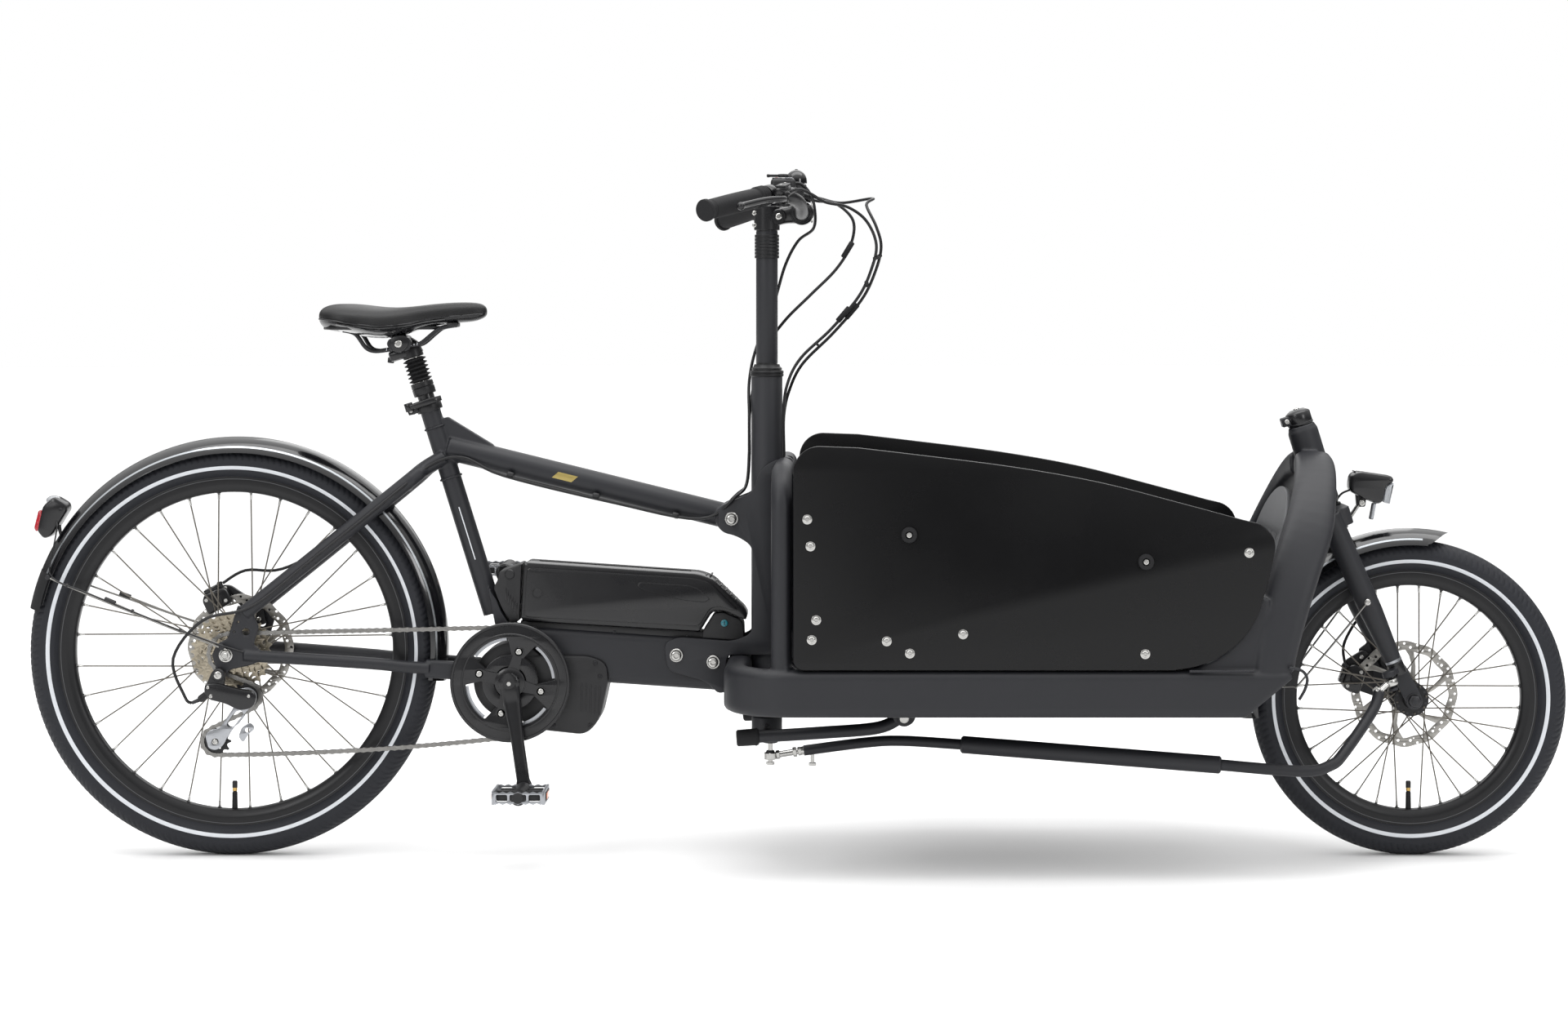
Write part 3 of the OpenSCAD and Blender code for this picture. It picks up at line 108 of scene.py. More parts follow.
def material(name, color, rough=0.5, metal=0.0, coat=0.0, mottle=0.12, mottle_scale=18, spread=0.06,
             grain=0.0, grain_scale=900, stretch=(1, 1, 1), cells=0.0, cell_scale=400, edge_highlight=0.0,
             sheen=0.0, specular=0.5, transmission=0.0, glow=0.0, ior=1.5):
    """Colour and roughness drift with a broad noise, bump from a fine noise and from cells, and convex edges may get a
    painted highlight that lightens them.
    """
    m = bpy.data.materials.new(name)
    m.use_nodes = True
    nt = m.node_tree
    nt.nodes.clear()
    out = _node(nt, "ShaderNodeOutputMaterial")
    b = _node(nt, "ShaderNodeBsdfPrincipled", Metallic=metal)
    b.inputs["Specular IOR Level"].default_value = specular
    b.inputs["Coat Weight"].default_value = coat
    b.inputs["Coat Roughness"].default_value = 0.06
    b.inputs["Sheen Weight"].default_value = sheen
    b.inputs["Transmission Weight"].default_value = transmission
    b.inputs["IOR"].default_value = ior
    if glow:
        b.inputs["Emission Color"].default_value = (*color, 1)
        b.inputs["Emission Strength"].default_value = glow
    link = nt.links.new
    link(b.outputs[0], out.inputs[0])
    at = _node(nt, "ShaderNodeTexCoord")
    place = _node(nt, "ShaderNodeMapping")
    place.inputs["Scale"].default_value = stretch
    link(at.outputs["Object"], place.inputs[0])
    broad = _node(nt, "ShaderNodeTexNoise", Scale=mottle_scale, Detail=5.0, Roughness=0.6)
    link(place.outputs[0], broad.inputs["Vector"])
    mix = _node(nt, "ShaderNodeMix", data_type="RGBA")
    dark = [c * (1 - mottle) for c in color]
    light = [min(1, c * (1 + mottle)) for c in color]
    mix.inputs["A"].default_value = (*dark, 1)
    mix.inputs["B"].default_value = (*light, 1)
    for s in mix.inputs:
        if s.type == "RGBA" and s.identifier.startswith("A_"):
            s.default_value = (*dark, 1)
        if s.type == "RGBA" and s.identifier.startswith("B_"):
            s.default_value = (*light, 1)
    link(broad.outputs["Fac"], mix.inputs["Factor"])
    colour = [o for o in mix.outputs if o.type == "RGBA"][0]
    # Painted highlight: edges picked out by pointiness are painted lighter.
    if edge_highlight:
        geo = _node(nt, "ShaderNodeNewGeometry")
        edge = _node(nt, "ShaderNodeMapRange")
        edge.inputs["From Min"].default_value, edge.inputs["From Max"].default_value = 0.52, 0.62
        edge.inputs["To Max"].default_value = edge_highlight
        link(geo.outputs["Pointiness"], edge.inputs["Value"])
        edge_highlight_mix = _node(nt, "ShaderNodeMix", data_type="RGBA")
        ins = {s.identifier: s for s in edge_highlight_mix.inputs}
        link(edge.outputs[0], ins["Factor_Float"])
        link(colour, ins["A_Color"])
        ins["B_Color"].default_value = (*[min(1, c * 3 + 0.05) for c in color], 1)
        colour = [o for o in edge_highlight_mix.outputs if o.type == "RGBA"][0]
    link(colour, b.inputs["Base Color"])
    r = _node(nt, "ShaderNodeMapRange")
    r.inputs["To Min"].default_value, r.inputs["To Max"].default_value = max(0.02, rough - spread), min(1, rough + spread)
    link(broad.outputs["Fac"], r.inputs["Value"])
    link(r.outputs[0], b.inputs["Roughness"])
    last = None
    if grain:
        fine = _node(nt, "ShaderNodeTexNoise", Scale=grain_scale, Detail=3.0, Roughness=0.55)
        link(place.outputs[0], fine.inputs["Vector"])
        last = _node(nt, "ShaderNodeBump", Strength=grain, Distance=0.0004)
        link(fine.outputs["Fac"], last.inputs["Height"])
    if cells:
        vor = _node(nt, "ShaderNodeTexVoronoi", Scale=cell_scale)
        link(place.outputs[0], vor.inputs["Vector"])
        bump = _node(nt, "ShaderNodeBump", Strength=cells, Distance=0.0005)
        link(vor.outputs["Distance"], bump.inputs["Height"])
        if last:
            link(last.outputs[0], bump.inputs["Normal"])
        last = bump
    if last:
        link(last.outputs[0], b.inputs["Normal"])
    m.diffuse_color = (*color, 1)
    MATERIALS[name] = m
    return m


PAINT = material("frame_paint", (0.0115, 0.012, 0.0150), 0.5, grain=0.22, grain_scale=1400, edge_highlight=0.1, mottle=0.1, mottle_scale=9, specular=0.4)
GLOSS = material("gloss_black", (0.004, 0.004, 0.005), 0.15, coat=0.5, mottle=0.2, mottle_scale=6, spread=0.04, grain=0.03, grain_scale=300, specular=0.4)
BOARD = material("black_board", (0.003, 0.003, 0.0034), 0.27, mottle=0.25, mottle_scale=5, spread=0.07, grain=0.05, grain_scale=500, edge_highlight=0.04, specular=0.22)
PLASTIC = material("moulded_plastic", (0.009, 0.009, 0.010), 0.44, grain=0.35, grain_scale=2600, cells=0.08, cell_scale=1800, edge_highlight=0.08, specular=0.4)
SEMI = material("semi_gloss_black", (0.006, 0.006, 0.007), 0.28, coat=0.1, grain=0.08, grain_scale=900, edge_highlight=0.06, specular=0.4)
ANODISED = material("black_anodised", (0.009, 0.009, 0.010), 0.36, metal=0.3, grain=0.12, grain_scale=1500, edge_highlight=0.15, specular=0.4)
HARDWARE = material("blackened_hardware", (0.024, 0.024, 0.026), 0.4, metal=0.7, grain=0.2, grain_scale=900, edge_highlight=0.2)
STEEL = material("stainless", (0.46, 0.455, 0.44), 0.27, metal=1, grain=0.12, grain_scale=700, mottle=0.08)
SPOKE = material("spoke_wire", (0.105, 0.094, 0.078), 0.36, metal=0.35, mottle=0.12, grain=0.05)
ROTOR = material("rotor_steel", (0.33, 0.32, 0.30), 0.36, metal=1, grain=0.3, grain_scale=500, stretch=(1, 6, 1), mottle=0.16, mottle_scale=60)
COG = material("nickel_cog", (0.36, 0.32, 0.25), 0.36, metal=1, grain=0.25, grain_scale=600, mottle=0.2, mottle_scale=70)
CHAIN = material("chain_steel", (0.23, 0.225, 0.215), 0.34, metal=1, grain=0.2, mottle=0.3, mottle_scale=150)
SILVER = material("silver_plate", (0.36, 0.37, 0.39), 0.3, metal=0.9, grain=0.1, mottle=0.08)
TYRE = material("tyre_rubber", (0.0125, 0.0135, 0.0175), 0.6, grain=0.5, grain_scale=1200, mottle=0.25, mottle_scale=30, specular=0.3)
STRIPE = material("reflective_band", (0.58, 0.60, 0.63), 0.4, grain=0.3, grain_scale=2500, mottle=0.08, specular=0.6)
RUBBER = material("soft_rubber", (0.008, 0.008, 0.009), 0.7, grain=0.5, grain_scale=1600, mottle=0.2, specular=0.3)
CABLE = material("cable_housing", (0.005, 0.005, 0.006), 0.34, grain=0.1, grain_scale=1200, specular=0.4)
LEATHER = material("saddle_cover", (0.0045, 0.0045, 0.005), 0.42, grain=0.25, grain_scale=700, cells=0.45, cell_scale=620, specular=0.35)
HATCH = material("saddle_side", (0.008, 0.008, 0.009), 0.18, coat=0.6, cells=0.35, cell_scale=260, stretch=(1, 0.3, 1.8))
BRASS = material("brass", (0.55, 0.36, 0.12), 0.3, metal=1, grain=0.2, mottle=0.15)
AMBER = material("amber_reflector", (0.75, 0.17, 0.02), 0.2, cells=0.9, cell_scale=330, coat=0.5, mottle=0.3, mottle_scale=200)
REDLENS = material("red_lens", (0.34, 0.006, 0.014), 0.14, cells=0.7, cell_scale=300, coat=0.6, mottle=0.35, mottle_scale=160, glow=0.02)
CLEAR = material("clear_lens", (0.62, 0.64, 0.67), 0.08, cells=0.35, cell_scale=240, transmission=0.55, coat=0.4, mottle=0.06)
TEAL = material("lock_teal", (0.01, 0.15, 0.19), 0.3, coat=0.3, grain=0.2)
GOLD = material("badge_foil", (0.36, 0.28, 0.09), 0.36, metal=0.5, grain=0.2, mottle=0.15, mottle_scale=90)
ALU = material("brushed_aluminium", (0.10, 0.102, 0.107), 0.46, metal=0.5, grain=0.35, grain_scale=400, stretch=(1, 10, 1), mottle=0.12)
WIRE = material("fender_wire", (0.22, 0.215, 0.205), 0.3, metal=1, grain=0.1, mottle=0.1)
REDDOT = material("red_mark", (0.5, 0.02, 0.015), 0.35, grain=0.1, mottle=0.1)
HIGHLIGHT_BAND = material("painted_highlight_band", (0.42, 0.44, 0.46), 0.22, metal=0.9, grain=0.04, grain_scale=300, mottle=0.15, mottle_scale=14)


# ------------------------------------------------------------------ shapes

def catmull(p, n):
    """Smooth curve through the points, n steps to a span."""
    p = [Vector(q) for q in p]
    out = []
    for i in range(len(p) - 1):
        a, b, c, d = p[max(i - 1, 0)], p[i], p[i + 1], p[min(i + 2, len(p) - 1)]
        for s in range(n):
            t = s / n
            out.append(0.5 * (2 * b + (c - a) * t + (2 * a - 5 * b + 4 * c - d) * t * t + (3 * b - a - 3 * c + d) * t ** 3))
    return out + [p[-1]]


def rounded(points, r, n=5):
    """A closed outline with its corners rounded by up to r."""
    out, p = [], [Vector((*q, 0)) for q in points]
    for i, b in enumerate(p):
        a, c = p[i - 1], p[(i + 1) % len(p)]
        u, w = (a - b), (c - b)
        d = min(r, u.length * 0.45, w.length * 0.45)
        s, e = b + u.normalized() * d, b + w.normalized() * d
        for k in range(n + 1):
            t = k / n
            q = (1 - t) ** 2 * s + 2 * t * (1 - t) * b + t * t * e
            out.append((q.x, q.y))
    return out


def circle(c, r, n=32, turn=0.0):
    return [(c[0] + r * math.cos(TAU * k / n + turn), c[1] + r * math.sin(TAU * k / n + turn)) for k in range(n)]


def toothed(teeth, c=(0, 0), turn=0.0):
    """Outline of a sprocket."""
    r = pitch_r(teeth)
    out = []
    for i in range(teeth):
        for f, dr in ((-0.5, -3.6), (-0.38, -3.3), (-0.22, -1.4), (-0.12, 1.4), (0.0, 2.6), (0.12, 1.4), (0.22, -1.4), (0.38, -3.3)):
            a = TAU * (i + f) / teeth + turn
            out.append((c[0] + (r + dr) * math.cos(a), c[1] + (r + dr) * math.sin(a)))
    return out


class Shape:
    def __init__(self, name, body):
        self.name, self.body = name, body
        self.v, self.f, self.m, self.mats = [], [], [], []
        self.k = 0

    def use(self, mat):
        if mat not in self.mats:
            self.mats.append(mat)
        self.k = self.mats.index(mat)
        return self

    def add(self, verts, faces, matrix=None):
        n = len(self.v)
        self.v += [matrix @ Vector(p) for p in verts] if matrix else [Vector(p) for p in verts]
        self.f += [[n + i for i in f] for f in faces]
        self.m += [self.k] * len(faces)
        return self

    def skin(self, rings, caps=True, loop=False, matrix=None):
        n, verts = len(rings[0]), [p for r in rings for p in r]
        faces = []
        for i in range(len(rings) if loop else len(rings) - 1):
            j = (i + 1) % len(rings)
            faces += [[i * n + k, j * n + k, j * n + (k + 1) % n, i * n + (k + 1) % n] for k in range(n)]
        if caps and not loop:
            faces += [list(range(n)), [(len(rings) - 1) * n + k for k in reversed(range(n))]]
        return self.add(verts, faces, matrix)

    def tube(self, route, r, sides=16, steps=4, squash=1.0, matrix=None, caps=True):
        """A tube along a smooth route; r is a radius or a list of radii along it."""
        p = catmull(route, steps) if steps > 1 else [Vector(q) for q in route]
        rings, n = [], None
        for i, q in enumerate(p):
            t = (p[min(i + 1, len(p) - 1)] - p[max(i - 1, 0)]).normalized()
            if n is None:
                n = Vector((0, 0, 1)) if abs(t.z) < 0.9 else Vector((1, 0, 0))
            n = (n - t * n.dot(t)).normalized()
            b = t.cross(n)
            if isinstance(r, (list, tuple)):
                x = i / (len(p) - 1) * (len(r) - 1)
                j = min(int(x), len(r) - 2)
                rr = r[j] + (r[j + 1] - r[j]) * (x - j)
            else:
                rr = r
            rings.append([q + rr * (math.cos(TAU * k / sides) * n + squash * math.sin(TAU * k / sides) * b) for k in range(sides)])
        return self.skin(rings, caps, matrix=matrix)

    def rod(self, p, q, r, r2=None, edge=0.0, sides=24, matrix=None):
        p, q = Vector(p), Vector(q)
        r2 = r if r2 is None else r2
        d = (q - p).normalized()
        steps = [(p, r - edge), (p + d * edge, r), (q - d * edge, r2), (q, r2 - edge)] if edge else [(p, r), (q, r2)]
        n = Vector((0, 0, 1)) if abs(d.z) < 0.9 else Vector((1, 0, 0))
        n = (n - d * n.dot(d)).normalized()
        b = d.cross(n)
        return self.skin([[c + rr * (math.cos(TAU * k / sides) * n + math.sin(TAU * k / sides) * b) for k in range(sides)]
                          for c, rr in steps], matrix=matrix)

    def lathe(self, profile, c=(0, 0, 0), axis="Y", seg=64, a0=0.0, a1=360.0, matrix=None, closed=False):
        """Turns [(radius, along)] about an axis through c."""
        rings, full = [], a1 - a0 >= 359.9
        n = seg if full else seg + 1
        for k in range(n):
            a = a0 + (a1 - a0) * k / seg
            ca, sa = cos(a), sin(a)
            rings.append([(c[0] + r * ca, c[1] + y, c[2] + r * sa) if axis == "Y" else
                          (c[0] + r * ca, c[1] + r * sa, c[2] + y) if axis == "Z" else
                          (c[0] + y, c[1] + r * ca, c[2] + r * sa) for r, y in profile])
        m = len(profile)
        verts = [p for ring in rings for p in ring]
        faces = []
        for i in range(len(rings) if full else len(rings) - 1):
            j = (i + 1) % len(rings)
            for k in range(m if closed else m - 1):
                k2 = (k + 1) % m
                faces.append([i * m + k, i * m + k2, j * m + k2, j * m + k])
        if closed and not full:
            faces += [list(range(m)), [(len(rings) - 1) * m + k for k in reversed(range(m))]]
        return self.add(verts, faces, matrix)

    def box(self, c, size, r=1.0, matrix=None, seg=2):
        """A block with rounded edges."""
        bm = bmesh.new()
        bmesh.ops.create_cube(bm, size=1)
        bmesh.ops.scale(bm, vec=Vector(size), verts=bm.verts)
        r = min(r, min(size) * 0.45)
        if r > 0:
            bmesh.ops.bevel(bm, geom=bm.edges[:], offset=r, segments=seg, profile=0.5, affect="EDGES")
        bm.verts.index_update()
        verts = [v.co + Vector(c) for v in bm.verts]
        faces = [[v.index for v in f.verts] for f in bm.faces]
        bm.free()
        return self.add(verts, faces, matrix)

    def plate(self, outline, y0, y1, holes=(), edge=0.6, matrix=None, lay="side"):
        """A flat plate with holes, drawn in the side view (x, z) between two Y planes, or lay="flat" for (x, y) between two Z planes."""
        cu = bpy.data.curves.new("plate", "CURVE")
        cu.dimensions, cu.fill_mode = "2D", "BOTH"
        t = (y1 - y0) / 2
        edge = min(edge, t * 0.9)
        cu.extrude, cu.bevel_depth, cu.bevel_resolution, cu.offset = max(t - edge, 0), edge, 1 if edge else 0, -edge
        for loop in [outline, *holes]:
            s = cu.splines.new("POLY")
            s.points.add(len(loop) - 1)
            for q, p in zip(s.points, loop):
                q.co = (p[0], p[1], 0, 1)
            s.use_cyclic_u = True
        o = bpy.data.objects.new("plate", cu)
        me = bpy.data.meshes.new_from_object(o)
        mid = (y0 + y1) / 2
        verts = [(q.co.x, mid - q.co.z, q.co.y) if lay == "side" else (q.co.x, q.co.y, mid + q.co.z) for q in me.vertices]
        faces = [list(p.vertices) for p in me.polygons]
        bpy.data.meshes.remove(me)
        bpy.data.objects.remove(o)
        bpy.data.curves.remove(cu)
        return self.add(verts, faces, matrix)

    def bolt(self, p, d, r=4.5, h=4, socket=True):
        """A button or socket head with its recess; d is the way that the head faces."""
        p, d = Vector(p), Vector(d).normalized()
        m = Matrix.Translation(p) @ d.to_track_quat("Z", "Y").to_matrix().to_4x4()
        prof = [(r, 0), (r, h * 0.55), (r * 0.86, h * 0.86), (r * 0.6, h), (r * 0.5, h)]
        self.lathe(prof, axis="Z", seg=20, matrix=m)
        k = 6 if socket else 16
        hexa = [(r * 0.5 * math.cos(TAU * i / k), r * 0.5 * math.sin(TAU * i / k)) for i in range(k)]
        rings = [[(x, y, z) for x, y in hexa] for z in (h, h - 0.6 * min(h, r))]
        n = 20
        # Annulus from the round top to the socket, then the socket's walls and floor.
        top = [(r * 0.5 * math.cos(TAU * i / n), r * 0.5 * math.sin(TAU * i / n), h) for i in range(n)]
        self.add(top + rings[1], [[i, (i + 1) % n, n + (i + 1) % n * k // n % k, n + i * k // n] for i in range(n)] + [[n + i for i in range(k)]], m)
        return self

    def ball(self, c, r, seg=20, rings=12, scale=(1, 1, 1), matrix=None):
        prof = [(max(r * sin(180 * k / rings), 0.001), -r * cos(180 * k / rings)) for k in range(rings + 1)]
        mm = Matrix.Translation(Vector(c)) @ Matrix.Diagonal((*scale, 1))
        return self.lathe(prof, axis="Z", seg=seg, matrix=(matrix @ mm) if matrix else mm)

    def mirror(self):
        """Adds the mirror image of everything so far."""
        n = len(self.v)
        self.v += [Vector((p.x, -p.y, p.z)) for p in self.v]
        self.f += [[n + i for i in reversed(f)] for f in self.f]
        self.m += list(self.m)
        return self

    def finish(self, *replaced, smooth=35, slot=None, bevel=0.0, subdiv=0, remesh=0.0, relax=0):
        me = bpy.data.meshes.new(self.name)
        me.from_pydata([p * 0.001 for p in self.v], [], self.f)
        for m in self.mats:
            me.materials.append(m)
        me.polygons.foreach_set("material_index", self.m)
        bm = bmesh.new()
        bm.from_mesh(me)
        bmesh.ops.remove_doubles(bm, verts=bm.verts, dist=2e-6)
        bmesh.ops.recalc_face_normals(bm, faces=bm.faces)
        bm.to_mesh(me)
        bm.free()
        return place(self.name, me, self.body, *replaced, smooth=smooth, slot=slot, bevel=bevel, subdiv=subdiv, remesh=remesh, relax=relax)


def place(name, me, body, *replaced, smooth=35, slot=None, bevel=0.0, subdiv=0, remesh=0.0, relax=0):
    """Makes an object of a mesh in metres, applies its modifiers and lets it ride on a body."""
    o = bpy.data.objects.new(name, me)
    bpy.context.scene.collection.objects.link(o)
    if remesh:
        mod = o.modifiers.new("remesh", "REMESH")
        mod.mode, mod.voxel_size, mod.adaptivity = "VOXEL", remesh, 0.0
        if relax:
            s = o.modifiers.new("relax", "SMOOTH")
            s.factor, s.iterations = 0.5, relax
    if bevel:
        mod = o.modifiers.new("bevel", "BEVEL")
        mod.width, mod.segments, mod.limit_method, mod.angle_limit = bevel * 0.001, 2, "ANGLE", math.radians(40)
        mod.harden_normals = False
    if subdiv:
        mod = o.modifiers.new("subdivision", "SUBSURF")
        mod.levels = mod.render_levels = subdiv
    if o.modifiers:
        dg = bpy.context.evaluated_depsgraph_get()
        made = bpy.data.meshes.new_from_object(o.evaluated_get(dg))
        mats = list(me.materials)
        o.modifiers.clear()
        o.data = made
        if not made.materials:
            for m in mats:
                made.materials.append(m)
    o.data.shade_smooth()
    if smooth and smooth < 180:
        o.data.set_sharp_from_angle(angle=math.radians(smooth))
    if body:
        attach(o, body)
    if replaced:
        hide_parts(*replaced)
    return o


def merged(name, nodes, body, mat, voxel, relax, extra=None, replaced=None):
    """One welded skin over CAD nodes, with small fillets where they meet. extra is a Shape to weld in."""
    bm = bmesh.new()
    for n in nodes:
        bm.from_mesh(NODES[n].data)
    if extra:
        me = bpy.data.meshes.new("extra")
        me.from_pydata([p * 0.001 for p in extra.v], [], extra.f)
        b2 = bmesh.new()
        b2.from_mesh(me)
        bmesh.ops.recalc_face_normals(b2, faces=b2.faces)
        b2.to_mesh(me)
        b2.free()
        bm.from_mesh(me)
    bmesh.ops.remove_doubles(bm, verts=bm.verts, dist=1e-6)
    me = bpy.data.meshes.new(name)
    bm.to_mesh(me)
    bm.free()
    me.materials.clear()
    me.materials.append(mat)
    o = place(name, me, body, *(replaced or nodes), smooth=0, remesh=voxel, relax=relax, slot="frame_paint")
    o.data.polygons.foreach_set("material_index", [0] * len(o.data.polygons))
    return o


# ------------------------------------------------------------------ camera, light and floor

def area(name, at, aim, size, power, color=(1, 1, 1), size_y=None):
    d = bpy.data.lights.new(name, "AREA")
    d.shape, d.size, d.size_y = "RECTANGLE", size, size_y or size
    d.energy, d.color = power, color
    o = bpy.data.objects.new(name, d)
    o.location = at
    o.rotation_mode = "QUATERNION"
    o.rotation_quaternion = (Vector(aim) - Vector(at)).to_track_quat("-Z", "Y")
    o.visible_camera = False
    bpy.context.scene.collection.objects.link(o)
    return o


def stage():
    scene = bpy.context.scene
    cam = bpy.data.cameras.new("camera")
    cam.lens, cam.sensor_width, cam.clip_end = 72.73, 36, 60
    cam.shift_x, cam.shift_y = -92 / 1920, -256 / 1920
    o = bpy.data.objects.new("camera", cam)
    o.location, o.rotation_euler = (0.0999, -5.2, 0.9062), (math.pi / 2, 0, 0)
    scene.collection.objects.link(o)
    scene.camera = o
    # A wide flat floor under an open sky that is bright overhead and dim at the sides.
    me = bpy.data.meshes.new("floor")
    me.from_pydata([(40 * cos(a), 40 * sin(a), 0) for a in range(0, 360, 6)], [], [list(range(60))])
    pale = material("studio_floor", (0.86, 0.86, 0.86), 0.75, mottle=0.01, mottle_scale=3, grain=0.05, grain_scale=200, specular=0.2)
    me.materials.append(pale)
    floor = bpy.data.objects.new("floor", me)
    scene.collection.objects.link(floor)
    w = bpy.data.worlds.new("studio")
    w.use_nodes = True
    nodes, links = w.node_tree.nodes, w.node_tree.links
    sky, split, rise, seen = (nodes.new("ShaderNode" + n) for n in ("TexCoord", "SeparateXYZ", "MapRange", "LightPath"))
    pick = nodes.new("ShaderNodeMix")
    for name, value in (("From Min", 0.15), ("From Max", 0.9), ("To Min", 0.10), ("To Max", 1.9)):
        rise.inputs[name].default_value = value
    pick.inputs["B"].default_value = 1.0
    links.new(sky.outputs["Generated"], split.inputs[0])
    links.new(split.outputs["Z"], rise.inputs["Value"])
    links.new(rise.outputs["Result"], pick.inputs["A"])
    links.new(seen.outputs["Is Camera Ray"], pick.inputs["Factor"])
    links.new(pick.outputs["Result"], nodes["Background"].inputs["Strength"])
    nodes["Background"].inputs["Color"].default_value = (1, 1, 1, 1)
    scene.world = w
    area("overhead", (0.1, -0.4, 3.4), (0, 0, 0.3), 4.6, 60, size_y=1.5)
    area("front_left", (-3.2, -4.2, 2.6), (-0.4, 0, 0.5), 1.5, 55)
    area("front_right", (3.6, -4.0, 2.2), (0.5, 0, 0.5), 1.3, 40)
    area("behind", (0.2, 3.2, 2.6), (0, 0, 0.4), 3.0, 30)
    scene.view_settings.view_transform = "Standard"
    scene.view_settings.look = "None"
    scene.view_settings.exposure = 0.0


stage()


# ------------------------------------------------------------------ wheels

def tyre(name, body, c, bead, node, blocks):
    """Carcass with slanted tread grooves, ribbed shoulders and a pale band on each side wall."""
    s = Shape(name, body)
    R, r = bead / 2 + 27.5, 27.5
    sections = 46
    # Angle round the section: 0 is the crown, 180 the bead; the two beads tuck into the rim.
    angles = [-150 + 300 * k / (sections - 1) for k in range(sections)]
    steps = blocks * 6
    verts, faces, mats = [], [], []
    for i in range(steps):
        a = TAU * i / steps
        ca, sa = math.cos(a), math.sin(a)
        for g in angles:
            ag = abs(g)
            rr = r - 1.2
            if ag < 62:
                # Grooves sweep back from the centre rib, and a shallow rib runs down the middle.
                phase = (blocks * i / steps + ag / 62 * 2.1) % 1.0
                lift = 1.2 if phase < 0.66 else 0.0
                if ag < 5:
                    lift = 1.2
                if 28 < ag < 33:
                    lift *= 0.35
                rr += lift
            elif ag < 74:
                rr += 1.2 if (blocks * i / steps + 2.1) % 1.0 < 0.66 else 0.35
            elif ag < 78:
                rr += 0.9
            elif 96 < ag < 108:
                rr += 0.75
            elif 122 < ag < 126:
                rr += 0.6
            flat = 1.0 if ag < 100 else 1.0 - 0.16 * (ag - 100) / 50
            x = R + rr * cos(g)
            y = rr * sin(g) * flat
            verts.append((c[0] + x * ca, y, c[2] + x * sa))
    n = sections
    for i in range(steps):
        j = (i + 1) % steps
        for k in range(n - 1):
            faces.append([i * n + k, i * n + k + 1, j * n + k + 1, j * n + k])
            g = abs(angles[k] + angles[k + 1]) / 2
            mats.append(1 if 97 < g < 107 else 0)
    s.use(TYRE)
    s.add(verts, faces)
    s.mats = [TYRE, STRIPE]
    s.m = mats
    # Valve at the bottom: black cap, brass stem.
    zb = c[2] - bead / 2
    s.use(BRASS).lathe([(0.1, 0), (2.6, 0), (2.6, 14), (3.9, 15), (3.9, 20), (0.1, 20)], c=(c[0], 0, zb + 34), axis="Z", seg=20)
    s.use(RUBBER).lathe([(4.6, -14), (4.2, 12), (3.0, 14), (2.6, 14)], c=(c[0], 0, zb + 34), axis="Z", seg=20)
    s.use(PLASTIC).lathe([(4.3, 20), (4.3, 29), (3.6, 31), (0.1, 31)], c=(c[0], 0, zb + 34), axis="Z", seg=20)
    s.finish(node, smooth=28, slot="tyre")


def rim(name, body, c, bead, node):
    s, b = Shape(name, body), bead / 2
    prof = [(b + 6.4, 14), (b + 6.6, 13), (b + 6, 11.6), (b, 11.2), (b - 4, 5), (b - 4, -5), (b, -11.2), (b + 6, -11.6), (b + 6.6, -13), (b + 6.4, -14),
            (b + 4, -14.4), (b - 6, -14.5), (b - 8, -14.3), (b - 16, -10.8), (b - 18.6, -8), (b - 19.5, -5.4),
            (b - 19.5, 5.4), (b - 18.6, 8), (b - 16, 10.8), (b - 8, 14.3), (b - 6, 14.5), (b + 4, 14.4)]
    s.use(ANODISED).lathe(prof, c=c, seg=180, closed=True)
    # Eyelets at the spoke holes and a thin machined line near the edge.
    s.use(HARDWARE)
    for i in range(32):
        a = (i + 0.5) * 11.25
        d = Vector((cos(a), 0, sin(a)))
        p = Vector(c) + d * (b - 19.6) + Vector((0, -3 if i % 2 == 0 else 3, 0))
        s.rod(p - d * 0.8, p + d * 1.5, 3.6, sides=14)
    s.use(ALU)
    for y in (-14.62, 14.62):
        s.lathe([(b + 2.2, y), (b + 3.0, y)], c=c, seg=180)
    s.finish(node, smooth=40, slot="black_anodised")


def spokes(name, body, c, bead, flange, y_right, y_left, node):
    s = Shape(name, body)
    for i in range(32):
        right = i % 2 == 0
        turn = (1 if (i // 2) % 2 == 0 else -1) * 5.5 * 11.25
        a, y = (i + 0.5) * 11.25, y_right if right else y_left
        p = Vector(c) + Vector((flange * cos(a + turn), y, flange * sin(a + turn)))
        q = Vector(c) + Vector(((bead / 2 - 18) * cos(a), math.copysign(3, y), (bead / 2 - 18) * sin(a)))
        d = (p - q).normalized()
        side = math.copysign(2.6, y) * (1 if turn > 0 else -1)
        s.use(SPOKE).rod(p, q, 1.15, sides=8)
        # Bent head through the flange.
        s.rod(p - Vector((0, side, 0)), p, 1.0, sides=8).ball(p - Vector((0, side * 1.2, 0)), 1.9, seg=8, rings=6)
        # Nipple with its square flats.
        s.use(STEEL).rod(q + d * 13, q + d * 5, 1.7, 2.0, edge=0.3, sides=12).rod(q + d * 5, q, 2.1, sides=4)
    s.finish(node, smooth=40, slot="spoke_steel")


